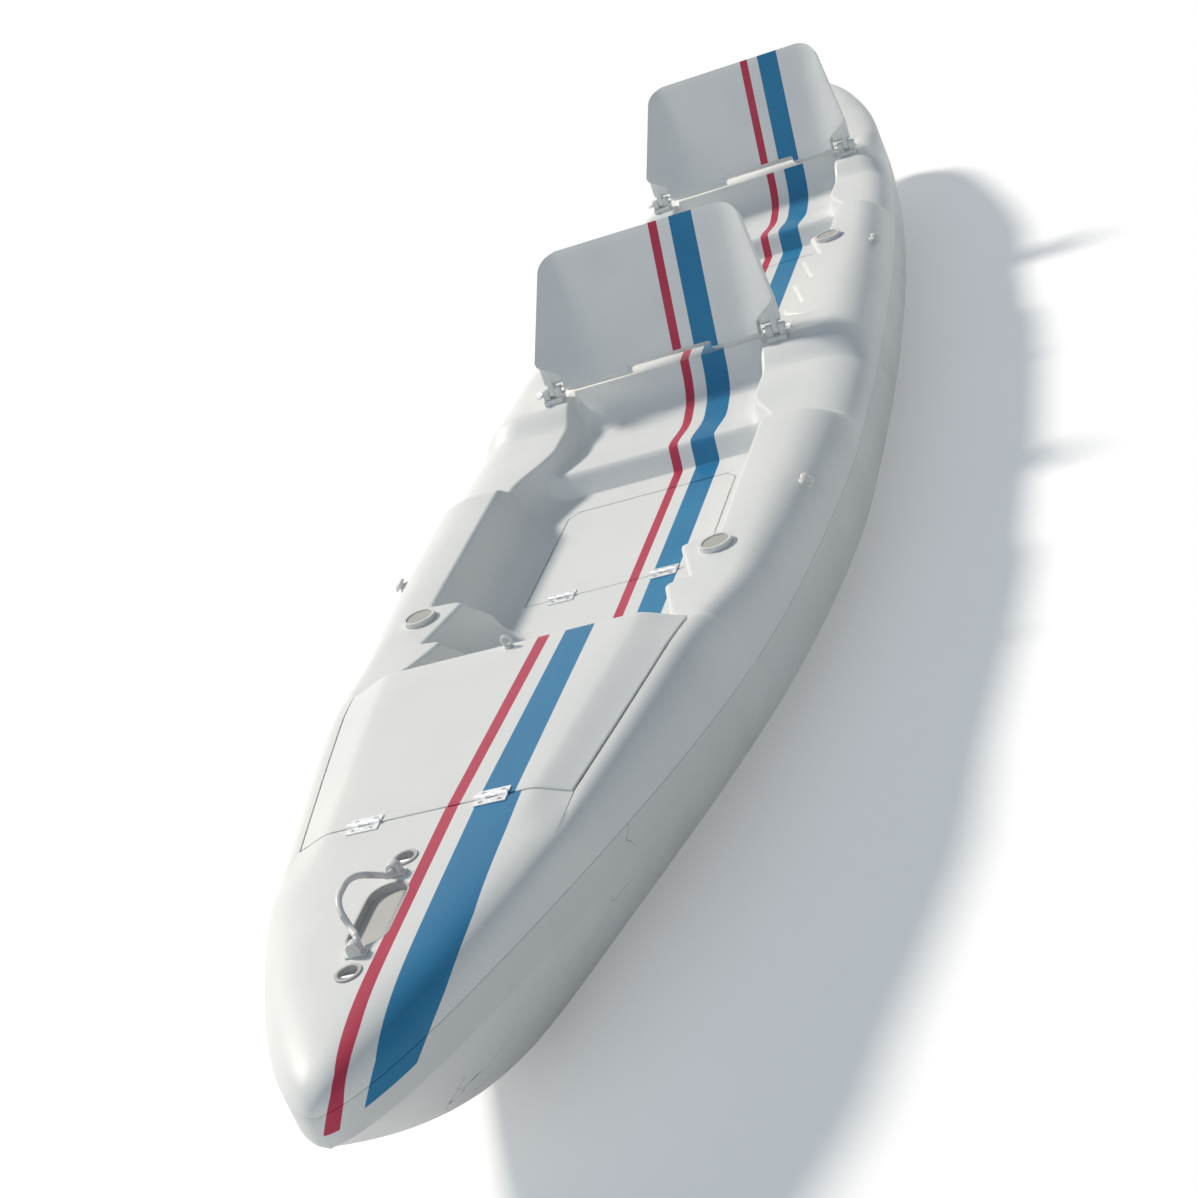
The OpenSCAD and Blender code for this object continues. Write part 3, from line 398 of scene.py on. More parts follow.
def bend_half(c):
    """Distance from the flat's edge to the grid lines beside it."""
    return min(BEND_HALF, BEND_HALF_SHARE * c)


def fore_half(x):
    c = crest_y(x)
    f = FLAT_SHARE * c
    low = BOW_REBATE if x < HATCH_FRONT else 0
    k = min(1.0, c / CREST_FRONT)
    b = c - CREST_BAND * k
    s = bend_half(c)
    ys = [c - d * k for d in CREST_OFFSETS]
    ys += [b, mix(b, f + s, 0.35), mix(b, f + s, 0.7), f + s, f + s / 2, f, f - s / 2, f - s]
    ys += [f * t for t in FLAT_STEPS]
    return [(x, y, faired_z(x, y, deck_z(x, y)) - low) for y in ys]


def aft_half(x):
    c = crest_y(x)
    f = FLAT_SHARE * c
    s = bend_half(c)
    ys = [c * t for t in (0.99, 0.97, 0.95, 0.93, 0.9, 0.87, 0.83)]
    ys += [f + s, f + s / 2, f, f - s / 2, f - s]
    ys += [f * t for t in FLAT_STEPS]
    return [(x, y, faired_z(x, y, deck_z(x, y))) for y in ys]


# Whole sections, and the grids of the deck and hull.
def mirrored(half):
    return [Vector(p) for p in half] + [Vector((p[0], -p[1], p[2])) for p in reversed(half[:-1])]


def fore_row(x):
    return mirrored(shoulder_half(x) + fore_half(x))


def aft_row(x):
    return mirrored(shoulder_half(x) + aft_half(x))


def cockpit_row(c, x):
    return mirrored(shoulder_half(x) + cockpit_half(c, x))


def spread(a, b, step):
    """Stations from a up to b, without b, about a step apart."""
    n = max(1, round((b - a) / step))
    return [mix(a, b, k / n) for k in range(n)]


def cockpit_stations(c):
    """Stations through a cockpit, closer at the brace tips, the seat and the edges of the floor hatch."""
    p = PIVOTS[c]
    marks = [FLOOR_HATCHES[c] - FLOOR_HATCH_L, FLOOR_HATCHES[c]]
    tips = [BRACES[c] + BRACE_PITCH * n for n in range(BRACE_LAST[c] + 1)]
    xs = []
    x = p - WELL_START
    while x < WELL_FRONTS[c] - WELL_STOP:
        xs.append(x)
        step = WELL_STEP
        if min(abs(x + 2 - t) for t in tips) < TIP_REACH:
            step = TIP_STEP
        elif SEAT_REACH[0] < x - p < SEAT_REACH[1]:
            step = SEAT_STEP
        x += step
    for m in marks:
        xs = [v for v in xs if abs(v - m) > 4]
        xs += [m - STEP_HALF, m + STEP_HALF]
    rim = [marks[0] + FLOOR_RIM, marks[1] - FLOOR_RIM]
    xs = [v for v in xs if min(abs(v - r) for r in rim) > 2] + rim
    return sorted(xs)


# Steps from one section to the next, as shares of the way along and up.
STEP_UP = ((0.3, 0.02), (0.5, 0.1), (0.66, 0.3), (0.78, 0.55), (0.87, 0.8), (0.94, 0.94))
STEP_DOWN = ((0.12, 0.02), (0.3, 0.14), (0.5, 0.36), (0.7, 0.64), (0.88, 0.88))


def blended(a, b, steps):
    rows = []
    for along, up in steps:
        row = []
        for p, q in zip(a, b):
            row.append(Vector((mix(p.x, q.x, along), mix(p.y, q.y, along), mix(p.z, q.z, up))))
        rows.append(row)
    return rows


def deck_rows():
    """Sections of the deck with both cockpits, from the stern to the bow."""
    ends = [TIP - d for d in END_STEPS]
    stern = [-x for x in ends] + spread(-TIP + END_ZONE, PIVOTS[1] - BACK_SET, step=14)
    rows = [aft_row(x) for x in stern]
    for c in (1, 0):
        last = aft_row(PIVOTS[c] - BACK_SET)
        cockpit = [cockpit_row(c, x) for x in cockpit_stations(c)]
        rows += [last] + blended(last, cockpit[0], STEP_DOWN) + cockpit
        following = aft_row(WELL_FRONTS[c]) if c == 1 else fore_row(WELL_FRONTS[c])
        rows += blended(rows[-1], following, STEP_UP) + [following]
        if c == 1:
            rows += [aft_row(x) for x in spread(WELL_FRONTS[1] + 8, PIVOTS[0] - 46, step=9)]
    hatch = spread(HATCH_REAR + 20, HATCH_FRONT - HATCH_LEDGE, step=18)
    hatch += [HATCH_FRONT - d for d in (HATCH_LEDGE, HATCH_LEDGE / 2, 1)]
    bow = spread(HATCH_FRONT + STEP_HALF, TIP - END_ZONE, step=10) + [TIP - END_ZONE] + ends[::-1]
    return rows + [fore_row(x) for x in hatch + bow]


def hull_rows():
    """Sections of the hull below the seam, from the stern to the bow."""
    ends = [TIP - d for d in END_STEPS]
    xs = [-x for x in ends] + spread(-TIP + END_ZONE, TIP - END_ZONE, step=24)
    xs += [TIP - END_ZONE] + ends[::-1]
    rows = []
    for x in xs:
        k = KEEL_HALF * plan(x)
        b = half_beam(x)
        c = chine_z(x)
        z = keel_z(x)
        m = 2 / fullness(x)
        groove = min(SEAM_GROOVE, GROOVE_SHARE * b)
        half = [(x, seam_y(x) - groove, seam_z(x)), (x, seam_y(x), seam_z(x) - groove / 2)]
        half += [(x, mix(seam_y(x), b, t), mix(seam_z(x), c, t)) for t in (0.3, 0.65)]
        for s in range(HULL_STEPS + 1):
            t = math.radians(90 - 90 * s / HULL_STEPS)
            half.append((x, k + (b - k) * math.sin(t) ** m, c - (c - z) * max(0.0, math.cos(t)) ** m))
        half += [(x, k * t, z) for t in (0.6, 0.3, 0)]
        rows.append(mirrored(half))
    return rows


# Meshes.
def normals_of(rows):
    out = []
    for i, row in enumerate(rows):
        line = []
        for j in range(len(row)):
            a = rows[min(i + 1, len(rows) - 1)][j] - rows[max(i - 1, 0)][j]
            b = row[min(j + 1, len(row) - 1)] - row[max(j - 1, 0)]
            n = b.cross(a)
            line.append(n.normalized() if n.length > 1e-9 else Vector((0, 0, 0)))
        out.append(line)
    return out


def new_object(name, bm):
    mesh = bpy.data.meshes.new(name)
    bm.to_mesh(mesh)
    bm.free()
    obj = bpy.data.objects.new(name, mesh)
    bpy.context.scene.collection.objects.link(obj)
    return obj


def shell_object(name, rows, inward, keep):
    """A closed shell: the given grid, and a copy moved by inward millimetres along its normals."""
    bm = bmesh.new()
    normal = normals_of(rows)
    outer = [[bm.verts.new(p * 0.001) for p in row] for row in rows]
    inner = []
    for row, line in zip(rows, normal):
        inner.append([bm.verts.new((p + n * inward) * 0.001) for p, n in zip(row, line)])
    last_i = len(rows) - 1
    last_j = len(rows[0]) - 1
    kept = {(i, j) for i in range(last_i) for j in range(last_j) if keep(i, j)}
    for i, j in kept:
        corners = ((i, j), (i + 1, j), (i + 1, j + 1), (i, j + 1))
        bm.faces.new([outer[a][b] for a, b in corners])
        bm.faces.new([inner[a][b] for a, b in reversed(corners)])
        beside = ((i, j - 1), (i + 1, j), (i, j + 1), (i - 1, j))
        for n in range(4):
            if beside[n] not in kept:
                (a, b), (c, d) = corners[n], corners[(n + 1) % 4]
                bm.faces.new([outer[c][d], outer[a][b], inner[a][b], inner[c][d]])
    bmesh.ops.delete(bm, geom=[v for v in bm.verts if not v.link_faces], context="VERTS")
    bmesh.ops.recalc_face_normals(bm, faces=bm.faces)
    return new_object(name, bm)


def apply_modifiers(obj):
    evaluated = obj.evaluated_get(bpy.context.evaluated_depsgraph_get())
    mesh = bpy.data.meshes.new_from_object(evaluated)
    obj.modifiers.clear()
    old = obj.data
    obj.data = mesh
    bpy.data.meshes.remove(old)


def smooth(obj, angle=32):
    obj.data.shade_smooth()
    obj.data.set_sharp_from_angle(angle=math.radians(angle))


def soften(obj, width, segments=3, angle=35):
    """Round the edges that are sharper than an angle."""
    m = obj.modifiers.new("soft_edges", "BEVEL")
    m.width = width
    m.segments = segments
    m.limit_method = "ANGLE"
    m.angle_limit = math.radians(angle)
    m.harden_normals = False


def prism(name, outline, z0, z1):
    """Closed prism over an outline in the XY plane, in metres."""
    bm = bmesh.new()
    low = [bm.verts.new((x, y, z0)) for x, y in outline]
    high = [bm.verts.new((x, y, z1)) for x, y in outline]
    n = len(outline)
    bm.faces.new(list(reversed(low)))
    bm.faces.new(high)
    for k in range(n):
        bm.faces.new([low[k], low[(k + 1) % n], high[(k + 1) % n], high[k]])
    return new_object(name, bm)


def cut(obj, outline, z):
    """Cut an outline in metres through a shell near a height in millimetres."""
    cutter = prism("cutter", outline, z / 1000 - CUT_HALF / 1000, z / 1000 + CUT_HALF / 1000)
    m = obj.modifiers.new("cut", "BOOLEAN")
    m.operation = "DIFFERENCE"
    m.solver = "EXACT"
    m.object = cutter
    apply_modifiers(obj)
    bpy.data.objects.remove(cutter)


def circle(x, y, r, n=48):
    turns = [2 * math.pi * k / n for k in range(n)]
    return [(x + r * math.cos(t), y + r * math.sin(t)) for t in turns]


def stadium(x, y, length, width, n=24):
    r = width / 2
    a = (length - width) / 2
    turns = [math.pi * k / n for k in range(n + 1)]
    right = [(x + a + r * math.sin(t), y - r * math.cos(t)) for t in turns]
    left = [(x - a - r * math.sin(t), y + r * math.cos(t)) for t in turns]
    return right + left


# Material nodes.
def node_material(name):
    mat = bpy.data.materials.new(name)
    mat.use_nodes = True
    tree = mat.node_tree
    return mat, tree, tree.nodes["Principled BSDF"]


def link(tree, a, b):
    tree.links.new(a, b)


def math_node(tree, operation, a, b=None, clamp=False):
    n = tree.nodes.new("ShaderNodeMath")
    n.operation = operation
    n.use_clamp = clamp
    for socket, value in zip(n.inputs, (a, b)):
        if value is None:
            continue
        if isinstance(value, (int, float)):
            socket.default_value = value
        else:
            link(tree, value, socket)
    return n.outputs[0]


def noise(tree, coords, scale, detail=3.0, rough=0.5, stretch=None):
    vec = coords
    if stretch:
        m = tree.nodes.new("ShaderNodeMapping")
        m.inputs["Scale"].default_value = stretch
        link(tree, coords, m.inputs["Vector"])
        vec = m.outputs[0]
    n = tree.nodes.new("ShaderNodeTexNoise")
    n.inputs["Scale"].default_value = scale
    n.inputs["Detail"].default_value = detail
    n.inputs["Roughness"].default_value = rough
    link(tree, vec, n.inputs["Vector"])
    return n.outputs["Fac"]


def span(tree, value, a, b, lo, hi):
    """A value from a to b mapped to lo to hi, and held there beyond."""
    n = tree.nodes.new("ShaderNodeMapRange")
    n.inputs["From Min"].default_value = a
    n.inputs["From Max"].default_value = b
    n.inputs["To Min"].default_value = lo
    n.inputs["To Max"].default_value = hi
    link(tree, value, n.inputs["Value"])
    return n.outputs[0]


def blend_colours(tree, fac, a, b):
    n = tree.nodes.new("ShaderNodeMix")
    n.data_type = "RGBA"
    link(tree, fac, n.inputs["Factor"])
    for socket, value in ((n.inputs["A"], a), (n.inputs["B"], b)):
        if isinstance(value, tuple):
            socket.default_value = (*value, 1)
        else:
            link(tree, value, socket)
    return n.outputs["Result"]


def bump(tree, shader, height, strength, distance):
    n = tree.nodes.new("ShaderNodeBump")
    n.inputs["Strength"].default_value = strength
    n.inputs["Distance"].default_value = distance
    link(tree, height, n.inputs["Height"])
    link(tree, n.outputs[0], shader.inputs["Normal"])


def coordinates(tree):
    n = tree.nodes.new("ShaderNodeTexCoord")
    return n.outputs["Object"]


def multiply_add(tree, value, factor, offset, clamp=False):
    out = math_node(tree, "MULTIPLY_ADD", value, factor, clamp)
    out.node.inputs[2].default_value = offset
    return out


def edge_line(tree, parts, lines):
    """The lowest of some lines y = a + b v, each given as (axis of v, a, b)."""
    lowest = None
    for axis, a, b in lines:
        line = multiply_add(tree, parts.outputs[axis], b, a)
        lowest = line if lowest is None else math_node(tree, "MINIMUM", lowest, line)
    return lowest


PAINT_EDGE = 1600.0


def beyond(tree, value, limit):
    """1 above a limit in metres and 0 below it, with an edge 0.6 mm soft."""
    return multiply_add(tree, value, PAINT_EDGE, 0.5 - PAINT_EDGE * limit, True)


def band(tree, parts, low, high):
    """1 between two bent lines."""
    y = parts.outputs["Y"]
    above = beyond(tree, math_node(tree, "SUBTRACT", y, edge_line(tree, parts, low)), 0.0)
    below = beyond(tree, math_node(tree, "SUBTRACT", edge_line(tree, parts, high), y), 0.0)
    return math_node(tree, "MULTIPLY", above, below)


# Colours. Each stripe has a fresh and a faded tone.
WHITE = (0.84, 0.84, 0.82)
WHITE_SHADE = (0.78, 0.79, 0.785)
HULL_WHITE = (0.79, 0.79, 0.775)
HULL_SHADE = (0.71, 0.71, 0.69)
RED = ((0.47, 0.028, 0.075), (0.53, 0.05, 0.10))
BLUE = ((0.012, 0.18, 0.37), (0.024, 0.22, 0.41))
# Colour of the painted shade low on the hull, towards the keel.
KEEL_SHADE = (0.42, 0.41, 0.37)
SCRATCH = (0.16, 0.15, 0.13)


def keel_shade_and_scratches(tree, coords, parts, wear, tone, amount):
    """Painted shade low on the hull, darker towards the keel and patchy with the wear noise, and fine
    dark scratches in patches.
    """
    # Painted shade: the hull's colour darkened towards the keel, below 0.2 m.
    low = span(tree, parts.outputs["Z"], 0.02, 0.2, amount, 0)
    tone = blend_colours(tree, math_node(tree, "MULTIPLY", low, wear), tone, KEEL_SHADE)
    ripple = noise(tree, coords, scale=7, detail=3, rough=0.5, stretch=(0.5, 1, 1.6))
    distance = math_node(tree, "ABSOLUTE", math_node(tree, "SUBTRACT", ripple, 0.5))
    line = span(tree, distance, 0, 0.0035, 1, 0)
    spots = noise(tree, coords, scale=4.4, detail=2, rough=0.5)
    patch = span(tree, spots, 0.6, 0.64, 0, amount)
    return blend_colours(tree, math_node(tree, "MULTIPLY", line, patch), tone, SCRATCH)


def gelcoat(name, colour, shade, rough, red=None, blue=None, red_end=None, blue_end=None, keel_shade_and_scratch_amount=0.0):
    mat, tree, shader = node_material(name)
    coords = coordinates(tree)
    cloud = noise(tree, coords, scale=2.3, detail=4, rough=0.55)
    wear = noise(tree, coords, scale=5, detail=4, rough=0.55)
    streak = noise(tree, coords, scale=60, detail=4, rough=0.6, stretch=(0.08, 1, 1))
    parts = tree.nodes.new("ShaderNodeSeparateXYZ")
    link(tree, coords, parts.inputs[0])
    tone = blend_colours(tree, span(tree, cloud, 0.35, 0.68, 0, 1), colour, shade)
    grime = tuple(0.86 * c for c in shade)
    tone = blend_colours(tree, span(tree, wear, 0.52, 0.78, 0, 0.3), tone, grime)
    if keel_shade_and_scratch_amount:
        tone = keel_shade_and_scratches(tree, coords, parts, wear, tone, keel_shade_and_scratch_amount)
    for limits, end, (paint, faded) in ((red, red_end, RED), (blue, blue_end, BLUE)):
        if not limits:
            continue
        mask = band(tree, parts, *limits)
        if end:
            mask = math_node(tree, "MULTIPLY", mask, beyond(tree, parts.outputs[end[0]], end[1]))
        ink = blend_colours(tree, span(tree, wear, 0.4, 0.75, 0, 1), paint, faded)
        tone = blend_colours(tree, mask, tone, ink)
    link(tree, tone, shader.inputs["Base Color"])
    finish = math_node(tree, "ADD", span(tree, wear, 0.35, 0.75, rough - 0.05, rough + 0.09),
                       span(tree, streak, 0.45, 0.8, 0, 0.08))
    link(tree, finish, shader.inputs["Roughness"])
    peel = noise(tree, coords, scale=120, detail=1, rough=0.5)
    relief = math_node(tree, "ADD", math_node(tree, "MULTIPLY", peel, 0.04), cloud)
    bump(tree, shader, relief, strength=0.2, distance=0.001)
    shader.inputs["Specular IOR Level"].default_value = 0.28
    shader.inputs["Coat Weight"].default_value = 0.06
    shader.inputs["Coat Roughness"].default_value = 0.3
    return mat


def moulded_plastic(name, colour, rough, grain):
    mat, tree, shader = node_material(name)
    coords = coordinates(tree)
    cloud = noise(tree, coords, scale=26, detail=4, rough=0.6)
    darker = tuple(0.88 * c for c in colour)
    tone = blend_colours(tree, span(tree, cloud, 0.3, 0.75, 0, 1), colour, darker)
    link(tree, tone, shader.inputs["Base Color"])
    link(tree, span(tree, cloud, 0.3, 0.75, rough - 0.06, rough + 0.08), shader.inputs["Roughness"])
    pores = noise(tree, coords, scale=grain, detail=3, rough=0.6)
    bump(tree, shader, pores, strength=0.3, distance=0.0004)
    return mat


def steel(name, bright, dull):
    mat, tree, shader = node_material(name)
    coords = coordinates(tree)
    brush = noise(tree, coords, scale=900, detail=3, rough=0.6, stretch=(1, 0.04, 1))
    cloud = noise(tree, coords, scale=70, detail=4, rough=0.6)
    tone = blend_colours(tree, span(tree, cloud, 0.3, 0.75, 0, 1), bright, dull)
    link(tree, tone, shader.inputs["Base Color"])
    link(tree, span(tree, brush, 0.3, 0.7, 0.24, 0.42), shader.inputs["Roughness"])
    shader.inputs["Metallic"].default_value = 1.0
    bump(tree, shader, brush, strength=0.12, distance=0.0002)
    return mat


# Edges of the red and blue stripes on the port side, as lines y = a + b v in metres.
LID_RED = ((("X", 0.0932, -0.038),), (("X", 0.1178, -0.041),))
LID_BLUE = ((("X", 0.1399, -0.037),), (("X", 0.1729, -0.023),))
BOW_RED = ((("X", 0.0280, 0.0), ("Z", -0.0894, 0.33), ("Z", -0.1642, 0.55)),
           (("X", 0.0482, 0.0), ("Z", -0.0743, 0.33), ("Z", -0.1264, 0.49)))
BOW_BLUE = ((("X", 0.0775, 0.0), ("Z", -0.0137, 0.238), ("Z", -0.1137, 0.53)),
            (("X", 0.1452, 0.0), ("Z", -0.0818, 0.609), ("Z", -0.1401, 0.778)))
WELL_RED = ((("X", 0.0300, 0.0),), (("X", 0.0490, 0.0),))
WELL_BLUE = ((("X", 0.0760, 0.0),), (("X", 0.1260, 0.0),))
WELL_END = ("X", -1.345)
HULL_RED_END = ("Z", 0.296)
HULL_BLUE_END = ("Z", 0.302)

fore_paint = gelcoat("foredeck_gelcoat", WHITE, WHITE_SHADE, 0.42, BOW_RED, BOW_BLUE)
well_paint = gelcoat("cockpit_gelcoat", WHITE, WHITE_SHADE, 0.44, WELL_RED, WELL_BLUE, WELL_END, WELL_END)
lid_paint = gelcoat("bow_lid_gelcoat", WHITE, WHITE_SHADE, 0.42, LID_RED, LID_BLUE)
back_paint = gelcoat("backrest_gelcoat", WHITE, WHITE_SHADE, 0.42, WELL_RED, WELL_BLUE)
plain_paint = gelcoat("plain_gelcoat", WHITE, WHITE_SHADE, 0.44)
# The last number sets the painted shade towards the keel and the patches of scratches.
hull_paint = gelcoat("hull_gelcoat", HULL_WHITE, HULL_SHADE, 0.46, BOW_RED, BOW_BLUE,
                     HULL_RED_END, HULL_BLUE_END, 0.8)
fitting = moulded_plastic("white_plastic", (0.78, 0.78, 0.76), 0.36, 300)
cap_plastic = moulded_plastic("cap_plastic", (0.47, 0.46, 0.42), 0.6, 500)
knob_plastic = moulded_plastic("knob_plastic", (0.80, 0.79, 0.77), 0.45, 400)
# Grey for the handle trays and tie-down cups: painted shade of their recesses.
recess_shade_grey = moulded_plastic("recess_shade_grey", (0.56, 0.55, 0.53), 0.5, 350)
rubber = moulded_plastic("seal_rubber", (0.03, 0.03, 0.03), 0.7, 600)
metal = steel("stainless", (0.80, 0.81, 0.82), (0.68, 0.69, 0.70))
screw_metal = steel("screw_stainless", (0.42, 0.42, 0.42), (0.30, 0.30, 0.30))

# Deck with both cockpits in one moulding, open under the bow hatch and the floor hatches.
rows = deck_rows()
columns = len(rows[0])
middle = columns // 2
CREST_COLUMN = 14
SMOOTH_ANGLE = 34
FORE_PAINT_X = HATCH_REAR / 1000 + 0.01


def deck_cell(i, j):
    x = (rows[i][middle].x + rows[i + 1][middle].x) / 2
    z = rows[i][j].z
    inner = min(j, columns - 2 - j)
    if HATCH_REAR + HATCH_SILL < x < HATCH_FRONT - HATCH_LEDGE and inner >= CREST_COLUMN + 4:
        return False
    for c in (0, 1):
        front = FLOOR_HATCHES[c] - FLOOR_RIM
        rear = front - FLOOR_HATCH_L + 2 * FLOOR_RIM
        if rear < x < front and inner >= middle - 4 and z < FLOOR_Z + 5:
            return False
    return True


deck = shell_object("deck_moulding", rows, -SKIN, deck_cell)
for hx, hz in HANDLES:
    cut(deck, stadium(hx / 1000, 0, TRAY_L / 1000, TRAY_W / 1000), hz)
    for side in (-1, 1):
        cut(deck, circle((hx + side * TIE_DOWN_SET) / 1000, 0, TIE_DOWN_R / 1000), hz)
for sx in SOCKETS:
    for side in (-1, 1):
        cut(deck, circle(sx / 1000, side * SOCKET_Y / 1000, SOCKET_R / 1000), GUNWALE_Z)
for vertex in deck.data.vertices:
    vertex.co.x = max(-TIP / 1000, min(TIP / 1000, vertex.co.x))
smooth(deck, SMOOTH_ANGLE)
for paint in (well_paint, fore_paint):
    deck.data.materials.append(paint)
for face in deck.data.polygons:
    face.material_index = 1 if face.center.x > FORE_PAINT_X else 0
tubs = [f"{c}_{n}" for c in ("front", "rear") for n in ("seat_pan", "side_walls", "cockpit_floor")]
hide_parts("deck_shell", *tubs)
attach(deck, "boat")

# Hull.
hull = shell_object("hull_moulding", hull_rows(), SKIN, lambda i, j: True)
smooth(hull, SMOOTH_ANGLE)
hull.data.materials.append(hull_paint)
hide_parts("hull_shell")
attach(hull, "boat")

# Bow hatch lid.
LID_GAP = 3.0
LID_T = 6.0
LID_EDGE = 0.0016


def lid_rows():
    rows = []
    for x in spread(HATCH_REAR, HATCH_FRONT - LID_GAP, step=12) + [HATCH_FRONT - LID_GAP]:
        c = crest_y(x)
        e = c - LID_GAP
        f = FLAT_SHARE * c
        ys = [e, e - 4, mix(e, f, 0.3), mix(e, f, 0.6), f + 12, f + 6, f, f - 6, f - 12, 0.82 * f]
        ys += [f * t for t in (0.7, 0.55, 0.4, 0.25, 0.12, 0)]
        rows.append(mirrored([(x, y, deck_z(x, y)) for y in ys]))
    return rows


lid = shell_object("bow_lid_panel", lid_rows(), -LID_T, lambda i, j: True)
soften(lid, LID_EDGE)
apply_modifiers(lid)
smooth(lid)
lid.data.materials.append(lid_paint)
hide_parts("bow_hatch_lid")
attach(lid, "bow_hatch")

# Backrests: outline cut into strips, bent at the wings, with a deep rim behind.
BACK_H = 285.0
BACK_W = 524.0
BACK_TOP_W = 430.0
BACK_FOOT = 214.0
WING_FOOT = 44.0
WING_BEND = 34.0
WING_FROM = 194.0
WING_TO = 282.0
WING_POWER = 1.08
CORNER_R = 50.0
SIDE_LEAN = math.atan((BACK_W - BACK_TOP_W) / 2 / (BACK_H - WING_FOOT))
PANEL_SET = 15.0
RIM_DEPTH = 30.0
RECLINE = -33.0
BACK_WALL = 0.005
BACK_EDGE = 0.0045
BACK_BASE = -4.0
NOTCH = (-72.0, 112.0)
STRIP_W = 20.0
STRIP_H = 26.0
FACING = 0.3
ARM_Y = 246.5
ARM_W = 12.4
ARM_EYE_R = 10.5
ARM_EDGE = 0.0012
BOLT_R = 4.05
BLOCK_Y = 238.5
BLOCK_W = 41.0


def back_outline():
    half = BACK_W / 2
    corner_z = BACK_H - CORNER_R
    corner_y = half - (corner_z - WING_FOOT) * math.tan(SIDE_LEAN) - CORNER_R / math.cos(SIDE_LEAN)
    side = [(BACK_FOOT, BACK_BASE), (BACK_FOOT, 16.0), (BACK_FOOT + 2, 22.0), (BACK_FOOT + 9, 28.0)]
    side += [(half - 12, WING_FOOT - 2), (half - 4, WING_FOOT + 4), (half - 1.5, WING_FOOT + 13)]
    for k in range(17):
        t = mix(SIDE_LEAN, math.pi / 2, k / 16)
        side.append((corner_y + CORNER_R * math.cos(t), corner_z + CORNER_R * math.sin(t)))
    left = [(-y, z) for y, z in reversed(side)]
    a, b = NOTCH
    notch = [(a, BACK_BASE), (a, 6), (a + 3, 9), (a + 6, 10)]
    notch += [(b - 6, 10), (b - 3, 9), (b, 6), (b, BACK_BASE)]
    return side + left + notch


def wing_bend(y):
    return WING_BEND * share(abs(y), WING_FROM, WING_TO) ** WING_POWER


def slice_mesh(bm, place, direction):
    geom = bm.verts[:] + bm.edges[:] + bm.faces[:]
    bmesh.ops.bisect_plane(bm, geom=geom, plane_co=place, plane_no=direction)


def moved_verts(made):
    return [g for g in made["geom"] if isinstance(g, bmesh.types.BMVert)]


def backrest(c, body, node):
    bm = bmesh.new()
    bm.faces.new([bm.verts.new((PANEL_SET, y, z)) for y, z in back_outline()])
    for k in range(-13, 14):
        slice_mesh(bm, (0, STRIP_W * k, 0), (0, 1, 0))
    for k in range(1, 11):
        slice_mesh(bm, (0, 0, STRIP_H * k), (0, 0, 1))
    rim = [e for e in bm.edges if e.is_boundary]
    for v in moved_verts(bmesh.ops.extrude_edge_only(bm, edges=rim)):
        v.co.x -= RIM_DEPTH
    for v in bm.verts:
        v.co.x += wing_bend(v.co.y)
    bmesh.ops.recalc_face_normals(bm, faces=bm.faces)
    front = max(bm.faces, key=lambda f: f.calc_area())
    if front.normal.x < 0:
        bmesh.ops.reverse_faces(bm, faces=bm.faces)
    lean = Matrix.Rotation(math.radians(RECLINE), 4, "Y")
    turn = Matrix.Translation((PIVOTS[c], 0, PIVOT_Z)) @ lean
    bmesh.ops.transform(bm, matrix=Matrix.Scale(0.001, 4) @ turn, verts=bm.verts)
    obj = new_object(node + "_panel", bm)
    wall = obj.modifiers.new("wall", "SOLIDIFY")
    wall.thickness = BACK_WALL
    wall.offset = -1
    wall.use_even_offset = True
    soften(obj, BACK_EDGE, segments=4, angle=50)
    apply_modifiers(obj)
    smooth(obj, angle=30)
    for paint in (back_paint, plain_paint):
        obj.data.materials.append(paint)
    forward = turn.to_3x3() @ Vector((1, 0, 0))
    for face in obj.data.polygons:
        face.material_index = 0 if face.normal.dot(forward) > FACING else 1
    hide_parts(node)
    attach(obj, body)
    for side in (-1, 1):
        arm = pivot_arm(node, side, turn)
        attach(arm, body)


def slab(bm, loops, y, width):
    """Flat solid between y and y + width from closed loops of (x, z) points."""
    edges = []
    for points in loops:
        ring = [bm.verts.new((x, y, z)) for x, z in points]
        edges += [bm.edges.new((ring[k], ring[(k + 1) % len(ring)])) for k in range(len(ring))]
    filled = bmesh.ops.triangle_fill(bm, edges=edges, use_beauty=True)
    faces = [g for g in filled["geom"] if isinstance(g, bmesh.types.BMFace)]
    for v in moved_verts(bmesh.ops.extrude_face_region(bm, geom=faces)):
        v.co.y += width


def pivot_arm(node, side, turn):
    """Arm from the rim to the pivot, with a bolt hole and a block that closes the wing's corner."""
    turns = [math.radians(a) for a in range(200, 341, 14)]
    outline = [(ARM_EYE_R * math.cos(t), ARM_EYE_R * math.sin(t)) for t in turns]
    outline += [(14, 25), (24, 50), (28, 78), (12, 78), (-4, 45), (-8, 20)]
    hole = circle(0, 0, BOLT_R, 20)
    block = [(-6, 16), (9, 16), (13, 26), (23, 48), (24, 60), (9, 60), (-3, 45), (-7, 24)]
    bm = bmesh.new()
    slab(bm, (outline, hole), side * ARM_Y - ARM_W / 2, ARM_W)
    slab(bm, (block,), side * BLOCK_Y - BLOCK_W / 2, BLOCK_W)
    bmesh.ops.recalc_face_normals(bm, faces=bm.faces)
    bmesh.ops.transform(bm, matrix=Matrix.Scale(0.001, 4) @ turn, verts=bm.verts)
    obj = new_object(f"{node}_arm_{'port' if side > 0 else 'starboard'}", bm)
    soften(obj, ARM_EDGE, segments=2, angle=50)
    smooth(obj)
    obj.data.materials.append(plain_paint)
    return obj


backrest(0, "front_back", "front_backrest")
backrest(1, "rear_back", "rear_backrest")

